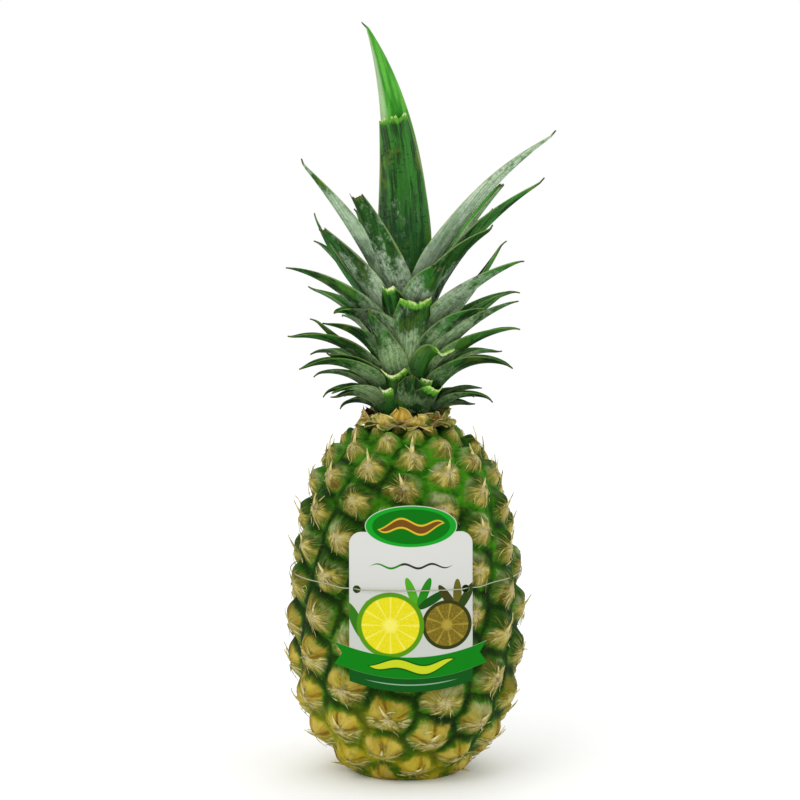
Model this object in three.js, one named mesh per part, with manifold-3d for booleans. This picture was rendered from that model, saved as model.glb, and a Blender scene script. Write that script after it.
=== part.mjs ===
// A ripe pineapple standing on its base: the fruit with its spiralling eyes, the leafy crown, the dry bracts
// round the neck, and a card tag held against the front by a thin elastic.
// Millimetres, +Z up. The origin is the centre of the flat spot it stands on, and the tag faces -Y.
// A turn is measured round the axis: 0 faces the tag, and it grows toward +X.

import * as THREE from "three";
import { mergeVertices } from "three/addons/utils/BufferGeometryUtils.js";
import Module from "manifold-3d";

const wasm = await Module();
wasm.setup();
const { degToRad, lerp, clamp, smoothstep } = THREE.MathUtils;
const UP = new THREE.Vector3(0, 0, 1);

// ---------------------------------------------------------------------------------------------------------
// Driving dimensions
// ---------------------------------------------------------------------------------------------------------

const GAP = 0.3; // air left between pieces that touch
const SLIVER = 0.01; // joined faces are merged where that moves them by less than this

// The fruit's outline over the tops of its eyes, as [radius, height] from the pole below to the pole above.
const FRUIT_OUTLINE = [
  [0, -4], [14, -3.2], [23, -1.6], [28.5, 1.2], [36.5, 7.5], [46, 18], [53.5, 33], [57.5, 52], [59, 75],
  [57.8, 98], [55, 116], [51, 136], [45, 153], [37, 163.5], [28, 171], [18, 175.5], [0, 177.5],
];
const NECK_HEIGHT = 174; // the fruit ends here in a flat seat for the crown
const EYE_RELIEF = 4.2; // depth of the valleys between the eyes
const RELIEF_START = 24; // along the outline from the lower pole, the relief grows from here
const RELIEF_FULL = 44; // to its full depth here

// The eyes follow one spiral: each turns by the divergence and climbs a little less than the one before.
const DIVERGENCE = degToRad(137.98);
const FIRST_EYE_TURN = degToRad(253.9);
const FIRST_EYE_CLIMB = 25.5; // along the outline, from the lower pole
const EYE_CLIMB = 1.88;
const EYE_CLIMB_LOSS = 0.0025;
const EYE_REACH = 1.36; // a mound's radius over the square root of the skin it has to itself
const EYE_RINGS = [0, 0.24, 0.64, 1]; // rings of points, from an eye's middle to its edge
const LOWEST_EYE = -20; // the spiral is followed from here, well below the first eye
const POLE_MARGIN = 1; // and every eye that keeps this far from both poles is drawn

// Each eye ends in the dry tip of its bract, a spine that points out and up.
const SPINE_OUT = 5;
const SPINE_RISE = 6;
const SPINE_FOOT = 2; // the eyes below this height are pressed by what the fruit stands on
const SPINE_TOP = 167; // the eyes above this height are hidden by the collar and have none
const EYE_BELOW = 11; // a spine reaches this far above its eye, so an eye this far below the elastic is bare
const EYE_ABOVE = 4; // and so is one this far above it
const EYE_BESIDE = 3;

// The stem stands inside the collar on a narrower foot, and tapers from its shoulder.
const STEM = {
  foot: NECK_HEIGHT + GAP, footRadius: 13.5, shoulder: 184, shoulderRadius: 17, top: 248, topRadius: 3,
  sides: 14,
};
const LEAF_STEPS = { least: 3, most: 5, length: 23 }; // a leaf takes a step for each such length
const LEAF_EDGE = 0.7; // thickness at the edge of a leaf
const LEAF_RIB = 1.7; // thickness along its middle
const LEAF_CHANNEL = 0.3; // depth of its channel, as a share of its width
const LEAF_ROOT_DEPTH = 3; // how far a leaf's root is sunk into the stem

const COLLAR = {
  innerRadius: STEM.footRadius + GAP, outerRadius: 21, topRadius: 19, foot: STEM.foot, top: 178,
};
const BRACT_RISE = 0.7; // a bract's root is this far above the collar's foot
const BRACT_SINK = 1.4; // and this far inside its rim
const BRACT_CHANNEL = 0.12; // the dry bracts are flatter than the leaves

// The tag is a die-cut card with square shoulders, an oval head that rises between them, a foot that sags in
// the middle, and a ribbon with notched ends that sags with it. It is bent round the fruit, and above its
// crease it leans toward the fruit.
const TAG = {
  turn: degToRad(2.4), thickness: 0.6, bend: 85, front: 60.2, crease: 101, lean: degToRad(7), columns: 13,
  halfWidth: 29.5, foot: 51.5, footSag: 4.8, shoulder: 128.5, shoulderRound: 6,
  head: { middle: 131.3, halfWidth: 22, halfHeight: 10 },
  ribbon: { foot: 58, top: 68.5, halfWidth: 36.5, notch: 3.5, sag: 6.5 },
  hole: { side: 26, radius: 1.9 },
};

// The elastic runs round the fruit and comes through the card's holes to cross the front of the card.
const ELASTIC = { radius: 0.45, sides: 6, reach: 58.2, climb: 1, smoothing: 2, knotRadius: 1.6 };

// ---------------------------------------------------------------------------------------------------------
// Closed meshes, and joining and cutting them
// ---------------------------------------------------------------------------------------------------------

function meshOf(points, triangles) {
  const geometry = new THREE.BufferGeometry();
  geometry.setAttribute("position", new THREE.Float32BufferAttribute(points.flatMap((p) => p.toArray()), 3));
  geometry.setIndex(triangles.flat());
  return geometry;
}

function solidOf(geometry) {
  const bare = geometry.clone();
  bare.deleteAttribute("normal");
  bare.deleteAttribute("uv");
  const merged = mergeVertices(bare);
  const mesh = new wasm.Mesh({
    numProp: 3,
    vertProperties: new Float32Array(merged.attributes.position.array),
    triVerts: new Uint32Array(merged.index.array),
  });
  return new wasm.Manifold(mesh);
}

// The largest body of a solid, with any hollow that joining sealed inside it filled and its slivers merged.
function geometryOf(solid) {
  const [body] = solid.decompose().sort((one, other) => other.volume() - one.volume());
  const { vertProperties, triVerts } = body.asOriginal().simplify(SLIVER).getMesh();
  const geometry = new THREE.BufferGeometry();
  geometry.setAttribute("position", new THREE.BufferAttribute(vertProperties, 3));
  geometry.setIndex(new THREE.BufferAttribute(triVerts, 1));
  return geometry;
}

// A closed skin over rings of points that all have the same count. A fan from a ring's first point covers
// each end, unless the last ring meets the first.
function loft(rings, meeting = false) {
  const count = rings[0].length;
  const spans = meeting ? rings.length : rings.length - 1;
  const triangles = [];
  for (let span = 0; span < spans; span++) {
    const near = span * count;
    const far = ((span + 1) % rings.length) * count;
    for (let k = 0; k < count; k++) {
      const next = (k + 1) % count;
      triangles.push([near + k, near + next, far + next], [near + k, far + next, far + k]);
    }
  }
  const last = spans * count;
  for (let k = 1; !meeting && k + 1 < count; k++) {
    triangles.push([0, k + 1, k], [last, last + k, last + k + 1]);
  }
  return meshOf(rings.flat(), triangles);
}

function around(turn, radius, height) {
  return new THREE.Vector3(radius * Math.sin(turn), -radius * Math.cos(turn), height);
}

// ---------------------------------------------------------------------------------------------------------
// The fruit: one skin of eyes, each a six-sided dome with its bract's spine
// ---------------------------------------------------------------------------------------------------------

const outline = new THREE.SplineCurve(FRUIT_OUTLINE.map(([radius, z]) => new THREE.Vector2(radius, z)));
const outlineLength = outline.getLength();

// The point of the skin at a turn and a length along the outline, sunk below the tops of the eyes.
function skinPoint(turn, along, sunk) {
  const share = clamp(along / outlineLength, 0, 1);
  const { x: radius, y: height } = outline.getPointAt(share);
  const { x: run, y: climb } = outline.getTangentAt(share);
  return around(turn, Math.max(radius - sunk * climb, 0), height + sunk * run);
}

function eyeAlong(eye) {
  return FIRST_EYE_CLIMB + EYE_CLIMB * eye - EYE_CLIMB_LOSS * eye * eye;
}

function eyeTurn(eye) {
  return FIRST_EYE_TURN - eye * DIVERGENCE;
}

// An eye's six neighbours are these many eyes further along the spiral, in order round it.
const NEIGHBOURS = [13, 5, -8, -13, -5, 8];
const FURTHER_NEIGHBOURS = [3, -3, 21, -21];

function turnTo(steps) {
  const turned = -steps * DIVERGENCE;
  return turned - 2 * Math.PI * Math.round(turned / (2 * Math.PI));
}

// A corner of an eye is the middle of the eye and two neighbours that follow each other.
function eyeCorners(eye) {
  return NEIGHBOURS.map((first, k) => {
    const second = NEIGHBOURS[(k + 1) % NEIGHBOURS.length];
    return {
      turn: eyeTurn(eye) + (turnTo(first) + turnTo(second)) / 3,
      along: (eyeAlong(eye) + eyeAlong(eye + first) + eyeAlong(eye + second)) / 3,
    };
  });
}

// Every eye is a round mound, so the skin sinks with the distance to the nearest middle.
function valleyDepth(turn, along, eye) {
  const radius = outline.getPointAt(clamp(along / outlineLength, 0, 1)).x;
  const distances = [0, ...NEIGHBOURS, ...FURTHER_NEIGHBOURS].map((steps) => {
    const across = radius * (eyeTurn(eye) + turnTo(steps) - turn);
    return Math.hypot(across, eyeAlong(eye + steps) - along);
  });
  const climb = Math.sqrt(EYE_CLIMB ** 2 - 4 * EYE_CLIMB_LOSS * (along - FIRST_EYE_CLIMB));
  const reach = EYE_REACH * Math.sqrt(radius * climb);
  const share = Math.min(Math.min(...distances) / reach, 1);
  return EYE_RELIEF * smoothstep(along, RELIEF_START, RELIEF_FULL) * share ** 3 * (4 - 3 * share);
}

// Spines under the card and under the elastic are pressed flat, and so are those at the base and the neck.
function spineStands(turn, height) {
  const place = around(turn - TAG.turn, TAG.front, height);
  const tagTop = TAG.head.middle + TAG.head.halfHeight;
  const besideTag = place.y > 0 || Math.abs(place.x) > TAG.ribbon.halfWidth + EYE_BESIDE;
  const clearOfTag = besideTag || height < TAG.foot - EYE_BELOW || height > tagTop + EYE_ABOVE;
  const aboveElastic = height - elasticHeight(turn - TAG.turn);
  const clearOfElastic = aboveElastic < -EYE_BELOW || aboveElastic > EYE_ABOVE;
  return height > SPINE_FOOT && height < SPINE_TOP && clearOfTag && clearOfElastic;
}

function eyeMiddle(eye) {
  const middle = skinPoint(eyeTurn(eye), eyeAlong(eye), 0);
  if (!spineStands(eyeTurn(eye), middle.z)) return middle;
  const outward = middle.clone().sub(skinPoint(eyeTurn(eye), eyeAlong(eye), 1));
  return middle.addScaledVector(outward, SPINE_OUT).addScaledVector(UP, SPINE_RISE);
}

function eyePoint(eye, left, right, ring, step) {
  if (ring === 0) return eyeMiddle(eye);
  const share = EYE_RINGS[ring];
  const turn = lerp(eyeTurn(eye), lerp(left.turn, right.turn, step / ring), share);
  const along = lerp(eyeAlong(eye), lerp(left.along, right.along, step / ring), share);
  return skinPoint(turn, along, valleyDepth(turn, along, eye));
}

function eyeTriangles(eye, points, triangles) {
  const corners = eyeCorners(eye);
  corners.forEach((left, k) => {
    const right = corners[(k + 1) % corners.length];
    const first = points.length;
    const at = (ring, step) => first + (ring * (ring + 1)) / 2 + step;
    for (let ring = 0; ring < EYE_RINGS.length; ring++) {
      for (let step = 0; step <= ring; step++) points.push(eyePoint(eye, left, right, ring, step));
    }
    for (let ring = 0; ring + 1 < EYE_RINGS.length; ring++) {
      for (let step = 0; step <= ring; step++) {
        triangles.push([at(ring, step), at(ring + 1, step + 1), at(ring + 1, step)]);
        if (step < ring) triangles.push([at(ring, step), at(ring, step + 1), at(ring + 1, step + 1)]);
      }
    }
  });
}

// The eyes cover the skin from pole to pole, and a fan closes each end where no whole eye fits.
function fruitSkin() {
  const points = [];
  const triangles = [];
  for (let eye = LOWEST_EYE; eyeAlong(eye) < outlineLength; eye++) {
    const reach = eyeCorners(eye).map((corner) => corner.along);
    const whole = Math.min(...reach) > POLE_MARGIN && Math.max(...reach) < outlineLength - POLE_MARGIN;
    if (whole) eyeTriangles(eye, points, triangles);
  }
  const skin = mergeVertices(meshOf(points, triangles), 1e-3);
  return closeEnds(skin);
}

function closeEnds(skin) {
  const { position } = skin.attributes;
  const points = [];
  for (let k = 0; k < position.count; k++) points.push(new THREE.Vector3().fromBufferAttribute(position, k));
  const index = Array.from(skin.index.array);
  const edges = new Set();
  for (let k = 0; k < index.length; k += 3) {
    for (let side = 0; side < 3; side++) edges.add(`${index[k + side]} ${index[k + ((side + 1) % 3)]}`);
  }
  const [lower, upper] = [FRUIT_OUTLINE.at(0), FRUIT_OUTLINE.at(-1)].map(([, height]) => {
    points.push(new THREE.Vector3(0, 0, height));
    return points.length - 1;
  });
  for (const edge of edges) {
    const [from, to] = edge.split(" ").map(Number);
    if (edges.has(`${to} ${from}`)) continue;
    index.push(to, from, points[from].z < NECK_HEIGHT / 2 ? lower : upper);
  }
  return meshOf(points, index);
}

function fruit() {
  const whole = solidOf(fruitSkin());
  return geometryOf(whole.trimByPlane([0, 0, 1], 0).trimByPlane([0, 0, -1], -NECK_HEIGHT));
}

// ---------------------------------------------------------------------------------------------------------
// The crown: a short stem with leaves that are channelled blades
// ---------------------------------------------------------------------------------------------------------

// rise is the height of a leaf's root, lean and droop its angles from upright at its root and its tip,
// swing a sideways bend, and kept the share that is left of a leaf whose tip was cut off. root is how far its
// root is from the axis, if that isn't just under the surface of the stem.
const LEAVES = [
  // the two that stand in the middle, one cupped in the other
  { turn: -2, rise: 237.5, length: 138, width: 26, lean: 4, droop: -4, swing: 26, root: 1 },
  { turn: 8, rise: 228, length: 140, width: 30, lean: 0, droop: 6, swing: 26, kept: 0.71 },
  // down the left side
  { turn: -58, rise: 227, length: 97, width: 18, lean: 27, droop: 44 },
  { turn: -40, rise: 222, length: 94, width: 23, lean: 16, droop: 44, kept: 0.8 },
  { turn: -88, rise: 222, length: 70, width: 13, lean: 50, droop: 20 },
  { turn: -58, rise: 216, length: 82, width: 22, lean: 28, droop: 49, kept: 0.86 },
  { turn: -62, rise: 205, length: 78, width: 22, lean: 20, droop: 78 },
  { turn: -50, rise: 204, length: 51, width: 26, lean: 12, droop: 94 },
  { turn: -76, rise: 198, length: 48, width: 14, lean: 58, droop: 42 },
  { turn: -50, rise: 197, length: 53, width: 18, lean: 24, droop: 84 },
  { turn: -66, rise: 190, length: 63, width: 18, lean: 22, droop: 98 },
  { turn: -56, rise: 189, length: 43, width: 16, lean: 30, droop: 86 },
  { turn: -58, rise: 186, length: 56, width: 18, lean: 26, droop: 112 },
  { turn: -92, rise: 184, length: 39, width: 12, lean: 24, droop: 108 },
  { turn: -54, rise: 182, length: 36, width: 13, lean: 30, droop: 116 },
  { turn: -84, rise: 183, length: 32, width: 11, lean: 34, droop: 123 },
  { turn: -66, rise: 182, length: 29, width: 11, lean: 36, droop: 119 },
  { turn: -100, rise: 181, length: 22, width: 10, lean: 48, droop: 128 },
  // down the right side
  { turn: 62, rise: 231, length: 119, width: 20, lean: 25, droop: 58 },
  { turn: 108, rise: 226, length: 92, width: 18, lean: 27, droop: 45, kept: 0.88 },
  { turn: 66, rise: 219, length: 104, width: 20, lean: 22, droop: 60 },
  { turn: 50, rise: 214, length: 79, width: 24, lean: 14, droop: 64 },
  { turn: 92, rise: 212, length: 68, width: 14, lean: 48, droop: 26 },
  { turn: 56, rise: 211, length: 78, width: 20, lean: 34, droop: 70 },
  { turn: 102, rise: 202, length: 57, width: 12, lean: 42, droop: 54 },
  { turn: 48, rise: 200, length: 56, width: 20, lean: 24, droop: 76 },
  { turn: 60, rise: 198, length: 66, width: 18, lean: 34, droop: 70 },
  { turn: 62, rise: 192, length: 62, width: 18, lean: 30, droop: 84 },
  { turn: 62, rise: 186, length: 54, width: 20, lean: 24, droop: 110 },
  { turn: 94, rise: 182, length: 27, width: 11, lean: 38, droop: 98 },
  { turn: 78, rise: 181, length: 33, width: 11, lean: 44, droop: 114 },
  { turn: 90, rise: 181, length: 21, width: 11, lean: 60, droop: 108 },
  // over the front
  { turn: 25, rise: 212, length: 64, width: 25, lean: 12, droop: 71, kept: 0.85 },
  { turn: -20, rise: 206, length: 50, width: 22, lean: 8, droop: 50, kept: 0.85 },
  { turn: 12, rise: 196, length: 73, width: 26, lean: 12, droop: 40, kept: 0.6 },
  { turn: -34, rise: 190, length: 49, width: 22, lean: 14, droop: 40 },
  { turn: 42, rise: 190, length: 43, width: 23, lean: 2, droop: 79, kept: 0.7 },
  { turn: -18, rise: 184, length: 32, width: 21, lean: 8, droop: 60, kept: 0.62 },
  { turn: 40, rise: 183, length: 25, width: 14, lean: 8, droop: 40, kept: 0.62 },
  { turn: -34, rise: 182, length: 18, width: 14, lean: 12, droop: 60, kept: 0.7 },
  { turn: 38, rise: 181, length: 22, width: 22, lean: 26, droop: 70, kept: 0.78 },
  { turn: 6, rise: 181, length: 24, width: 20, lean: 18, droop: 44 },
];

// The back of the crown, in tiers from the top down.
const BACK_TIERS = [
  { turns: [180], rise: 222, length: 94, width: 22, lean: 22, droop: 46 },
  { turns: [-154, 132], rise: 216, length: 82, width: 21, lean: 26, droop: 54 },
  { turns: [-128, 158], rise: 210, length: 74, width: 19, lean: 28, droop: 58 },
  { turns: [-174, -128, 114], rise: 202, length: 66, width: 18, lean: 30, droop: 80 },
  { turns: [-146, 144], rise: 195, length: 60, width: 17, lean: 28, droop: 90 },
  { turns: [-120, 172, 120], rise: 188, length: 50, width: 16, lean: 28, droop: 104 },
  { turns: [-150, 148], rise: 184, length: 38, width: 14, lean: 32, droop: 114 },
  { turns: [-126, 180, 116], rise: 182, length: 26, width: 13, lean: 42, droop: 120 },
];

function stemRadius(height) {
  const share = clamp((height - STEM.shoulder) / (STEM.top - STEM.shoulder), 0, 1);
  return lerp(STEM.shoulderRadius, STEM.topRadius, share);
}

function leafWidth(width, share) {
  return Math.max(width * (0.65 + 0.35 * smoothstep(share, 0, 0.3)) * (1 - share ** 1.8), 1);
}

// The ways along a leaf, across it, and out of its lower side, at a share of its length.
function leafDirections({ turn, lean, droop, swing = 0 }, share) {
  const outward = around(degToRad(turn), 1, 0);
  const angle = degToRad(lerp(lean, droop, share));
  const under = outward.clone().multiplyScalar(Math.cos(angle)).addScaledVector(UP, -Math.sin(angle));
  const along = outward.clone().multiplyScalar(Math.sin(angle)).addScaledVector(UP, Math.cos(angle));
  along.applyAxisAngle(under, degToRad(swing * share * share));
  return { along, under, across: new THREE.Vector3().crossVectors(under, along) };
}

function leaf(spec) {
  const { turn, rise, length, width, kept = 1 } = spec;
  const { root = stemRadius(rise) - LEAF_ROOT_DEPTH, channel = LEAF_CHANNEL } = spec;
  const steps = clamp(Math.round(length / LEAF_STEPS.length) + 1, LEAF_STEPS.least, LEAF_STEPS.most);
  const place = around(degToRad(turn), root, rise);
  const rings = [];
  for (let step = 0; step <= steps; step++) {
    const share = (kept * step) / steps;
    const { under, across } = leafDirections(spec, share);
    const half = leafWidth(width, share) / 2;
    const edge = -2 * half * channel;
    const rib = Math.min(LEAF_RIB, LEAF_EDGE + 0.1 * half);
    const point = (side, depth) => place.clone().addScaledVector(across, side).addScaledVector(under, depth);
    rings.push([
      point(0, 0), point(half, edge), point(half, edge + LEAF_EDGE),
      point(0, rib), point(-half, edge + LEAF_EDGE), point(-half, edge),
    ]);
    place.addScaledVector(leafDirections(spec, share + kept / steps / 2).along, (kept * length) / steps);
  }
  return loft(rings);
}

function stem() {
  const profile = [
    [0, STEM.foot], [STEM.footRadius, STEM.foot], [STEM.footRadius, STEM.shoulder - 3],
    [STEM.shoulderRadius, STEM.shoulder], [STEM.topRadius, STEM.top], [0, STEM.top],
  ].map(([radius, height]) => new THREE.Vector2(radius, height));
  return new THREE.LatheGeometry(profile, STEM.sides).rotateX(Math.PI / 2);
}

function crown() {
  const back = BACK_TIERS.flatMap((tier) => tier.turns.map((turn) => ({ ...tier, turn })));
  const pieces = [stem(), ...[...LEAVES, ...back].map(leaf)];
  return geometryOf(wasm.Manifold.union(pieces.map(solidOf)));
}

// ---------------------------------------------------------------------------------------------------------
// The collar: dry bracts that grow from a ring round the foot of the crown
// ---------------------------------------------------------------------------------------------------------

const BRACTS = [
  { turn: -8, length: 11, width: 13, lean: 0, droop: 22 },
  { turn: 16, length: 8, width: 13, lean: 22, droop: 66 },
  { turn: 36, length: 9, width: 16, lean: 6, droop: 40 },
  { turn: 58, length: 9, width: 14, lean: 58, droop: 112 },
  { turn: 82, length: 7, width: 16, lean: 6, droop: 44 },
  { turn: 110, length: 8, width: 15, lean: 16, droop: 54 },
  { turn: 140, length: 8, width: 16, lean: 6, droop: 44 },
  { turn: 168, length: 8, width: 14, lean: 50, droop: 98 },
  { turn: -164, length: 9, width: 16, lean: 4, droop: 38 },
  { turn: -136, length: 8, width: 15, lean: 18, droop: 56 },
  { turn: -110, length: 8, width: 15, lean: 4, droop: 42 },
  { turn: -84, length: 7, width: 15, lean: 8, droop: 46 },
  { turn: -60, length: 8, width: 13, lean: 56, droop: 106 },
  { turn: -34, length: 8, width: 15, lean: 14, droop: 52 },
];

function collar() {
  const { innerRadius, outerRadius, topRadius, foot, top } = COLLAR;
  const section = [[innerRadius, foot], [outerRadius, foot], [topRadius, top], [innerRadius, top]];
  const profile = [...section, section[0]].map(([radius, height]) => new THREE.Vector2(radius, height));
  const ring = new THREE.LatheGeometry(profile, STEM.sides).rotateX(Math.PI / 2);
  const place = { rise: foot + BRACT_RISE, root: outerRadius - BRACT_SINK, channel: BRACT_CHANNEL };
  const bracts = BRACTS.map((bract) => leaf({ ...bract, ...place }));
  return geometryOf(wasm.Manifold.union([ring, ...bracts].map(solidOf)));
}

// ---------------------------------------------------------------------------------------------------------
// The tag
// ---------------------------------------------------------------------------------------------------------

// How far in front of the fruit's axis the back of the card is.
function cardBack(side, height) {
  const bent = TAG.bend - Math.sqrt(TAG.bend ** 2 - side ** 2);
  return TAG.front - bent - Math.max(height - TAG.crease, 0) * Math.tan(TAG.lean);
}

function cardPoint(side, height, offset) {
  const tilt = Math.asin(side / TAG.bend);
  const front = cardBack(side, height) + offset * Math.cos(tilt);
  return new THREE.Vector3(side + offset * Math.sin(tilt), -front, height);
}

// The bent sheet that the tag is cut from.
function cardSheet() {
  const reach = TAG.ribbon.halfWidth + 3;
  const foot = TAG.foot - 3;
  const top = TAG.head.middle + TAG.head.halfHeight + 3;
  const rings = Array.from({ length: TAG.columns }, (_, column) => {
    const side = lerp(-reach, reach, column / (TAG.columns - 1));
    const back = (height) => cardPoint(side, height, 0);
    const front = (height) => cardPoint(side, height, TAG.thickness);
    return [back(TAG.crease), back(top), front(top), front(TAG.crease), front(foot), back(foot)];
  });
  return loft(rings);
}

// How far the ribbon's edges are above their middles, at a distance from the middle.
function ribbonRise(side) {
  return TAG.ribbon.sag * (side / TAG.ribbon.halfWidth) ** 2;
}

function tagOutline() {
  const { halfWidth, foot, footSag, shoulder, shoulderRound, head, ribbon, hole } = TAG;
  const step = Math.asin((head.middle - shoulder) / head.halfHeight);
  const ribbonEnd = [
    [halfWidth, ribbon.foot + ribbonRise(halfWidth)],
    [ribbon.halfWidth, ribbon.foot + ribbon.sag],
    [ribbon.halfWidth - ribbon.notch, (ribbon.foot + ribbon.top) / 2 + ribbon.sag],
    [ribbon.halfWidth, ribbon.top + ribbon.sag],
    [halfWidth, ribbon.top + ribbonRise(halfWidth)],
  ];
  const shape = new THREE.Shape();
  shape.moveTo(-halfWidth, foot + footSag).quadraticCurveTo(0, foot - footSag, halfWidth, foot + footSag);
  for (const [side, height] of ribbonEnd) shape.lineTo(side, height);
  shape.lineTo(halfWidth, shoulder - shoulderRound);
  shape.absarc(halfWidth - shoulderRound, shoulder - shoulderRound, shoulderRound, 0, Math.PI / 2);
  shape.absellipse(0, head.middle, head.halfWidth, head.halfHeight, -step, Math.PI + step);
  shape.absarc(shoulderRound - halfWidth, shoulder - shoulderRound, shoulderRound, Math.PI / 2, Math.PI);
  for (const [side, height] of ribbonEnd.toReversed()) shape.lineTo(-side, height);
  const holeHeight = elasticHeight(Math.atan2(hole.side, cardBack(hole.side, TAG.crease)));
  for (const side of [-hole.side, hole.side]) {
    shape.holes.push(new THREE.Path().absarc(side, holeHeight, hole.radius, 0, 2 * Math.PI));
  }
  return shape;
}

function tag() {
  const block = { depth: 2 * TAG.front, curveSegments: 10, bevelEnabled: false };
  const cutter = new THREE.ExtrudeGeometry(tagOutline(), block).rotateX(Math.PI / 2);
  return geometryOf(solidOf(cardSheet()).intersect(solidOf(cutter))).rotateZ(TAG.turn);
}

// ---------------------------------------------------------------------------------------------------------
// The elastic: one loop, with its knot at the back
// ---------------------------------------------------------------------------------------------------------

function elasticHeight(turn) {
  return TAG.crease + ELASTIC.climb * (1 - Math.cos(turn));
}

// Each place is a distance from the middle of the card, and how far the elastic lies off the card's back.
const ELASTIC_ON_CARD = [
  [0, 1.5], [12, 1.5], [22, 1.6], [24.4, 1.3], [26, 0.3], [27.6, -0.7], [30, -1], [33, -0.8],
];
const ELASTIC_TURNS = [44, 60, 80, 100, 120, 140, 160, 180].map(degToRad); // round one side to the knot

function elasticRoute() {
  const onCard = ELASTIC_ON_CARD.map(([side, offset]) => {
    const place = cardPoint(side, TAG.crease, offset);
    return place.setZ(elasticHeight(Math.atan2(place.x, -place.y)));
  });
  const onFruit = ELASTIC_TURNS.map((turn) => around(turn, ELASTIC.reach, elasticHeight(turn)));
  const oneSide = [...onCard, ...onFruit];
  const otherSide = oneSide.slice(1, -1).reverse().map(({ x, y, z }) => new THREE.Vector3(-x, y, z));
  return new THREE.CatmullRomCurve3([...oneSide, ...otherSide], true, "centripetal");
}

function elastic() {
  const route = elasticRoute();
  const count = route.points.length * ELASTIC.smoothing;
  const rings = Array.from({ length: count }, (_, k) => {
    const across = new THREE.Vector3().crossVectors(UP, route.getTangent(k / count)).normalize();
    return Array.from({ length: ELASTIC.sides }, (_, side) => {
      const angle = (2 * Math.PI * side) / ELASTIC.sides;
      const point = route.getPoint(k / count).addScaledVector(across, ELASTIC.radius * Math.cos(angle));
      return point.addScaledVector(UP, ELASTIC.radius * Math.sin(angle));
    });
  });
  const knot = new THREE.SphereGeometry(ELASTIC.knotRadius, 8, 5);
  knot.translate(0, ELASTIC.reach + ELASTIC.radius, elasticHeight(Math.PI));
  return geometryOf(solidOf(loft(rings, true)).add(solidOf(knot))).rotateZ(TAG.turn);
}

// ---------------------------------------------------------------------------------------------------------

function part(name, geometry, color, roughness) {
  const mesh = new THREE.Mesh(geometry, new THREE.MeshStandardMaterial({ color, roughness, metalness: 0 }));
  mesh.name = name;
  return mesh;
}

const pineapple = new THREE.Group();
pineapple.add(
  part("fruit", fruit(), 0xb9a045, 0.6),
  part("crown", crown(), 0x2f6b34, 0.5),
  part("collar", collar(), 0xc9a24a, 0.7),
  part("tag_card", tag(), 0xe9e7e2, 0.35),
  part("tag_elastic", elastic(), 0xe6e4de, 0.5),
);

export default pineapple;
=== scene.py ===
# %% [markdown]
# # A pineapple on a pale floor
# The real thing is a fruit whose skin is a spiral of small eyes, under a crown of stiff leaves, with a ring
# of dry bracts between them and a card tag held to its front by an elastic. The plain model arrives as a
# frame. Each plain piece gets a finer one in its own place, made from the same few driving sizes, so that
# nothing has to be fitted by eye afterwards. Lengths here are millimetres, and meshes are made in metres.

# %% Load the frame
import math
import random
import bpy
import numpy as np
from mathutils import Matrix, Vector, geometry, noise


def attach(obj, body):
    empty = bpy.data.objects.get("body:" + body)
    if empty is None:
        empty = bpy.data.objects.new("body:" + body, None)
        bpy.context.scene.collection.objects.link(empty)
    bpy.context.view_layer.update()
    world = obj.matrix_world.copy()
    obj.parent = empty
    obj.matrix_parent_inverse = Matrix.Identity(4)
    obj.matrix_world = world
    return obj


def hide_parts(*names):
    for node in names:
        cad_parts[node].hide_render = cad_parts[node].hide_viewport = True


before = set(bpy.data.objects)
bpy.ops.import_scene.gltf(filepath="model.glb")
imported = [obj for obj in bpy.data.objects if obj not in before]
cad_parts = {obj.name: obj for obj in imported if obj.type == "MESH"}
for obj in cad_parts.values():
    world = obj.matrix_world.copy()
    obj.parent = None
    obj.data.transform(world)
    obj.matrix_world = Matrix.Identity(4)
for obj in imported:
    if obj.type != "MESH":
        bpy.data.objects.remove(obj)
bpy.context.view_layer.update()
MM = 0.001
UP = np.array([0.0, 0.0, 1.0])
print("plain pieces:", sorted(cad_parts))

# %% [markdown]
# ## Building pieces
# Every fine piece is made of parts: points, faces and a few values for each point, such as how far along a
# leaf it lies. Materials read those values, so a vein or a dry tip knows where it belongs. Numpy arrays keep
# this quick, and a loft over rings of points makes everything that is long and thin.

# %% Rings to skins, and skins to pieces
def loft(rings):
    """Points and faces of a closed skin over rings of points, with a strip of faces over each end."""
    spans, count = len(rings) - 1, len(rings[0])
    faces = []
    for near in range(0, spans * count, count):
        for k in range(count):
            after = (k + 1) % count
            faces.append((near + k, near + after, near + count + after, near + count + k))
    last = spans * count
    for k in range(count // 2 - 1):
        strip = (k, k + 1, count - 2 - k, count - 1 - k)
        faces += [strip[::-1], tuple(last + corner for corner in strip)]
    return np.concatenate(rings), faces


def joined(parts):
    """One part from several: its points, its faces, and its values, as {name: 3 numbers for each point}."""
    points = np.vstack([part[0] for part in parts])
    values = {name: np.vstack([part[2][name] for part in parts]) for name in parts[0][2]}
    faces = []
    first = 0
    for part_points, part_faces, _ in parts:
        faces += [tuple(first + k for k in face) for face in part_faces]
        first += len(part_points)
    return points, faces, values


def table(*columns):
    """Columns side by side as rows. A plain number fills its whole column."""
    return np.column_stack(np.broadcast_arrays(*columns))


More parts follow.
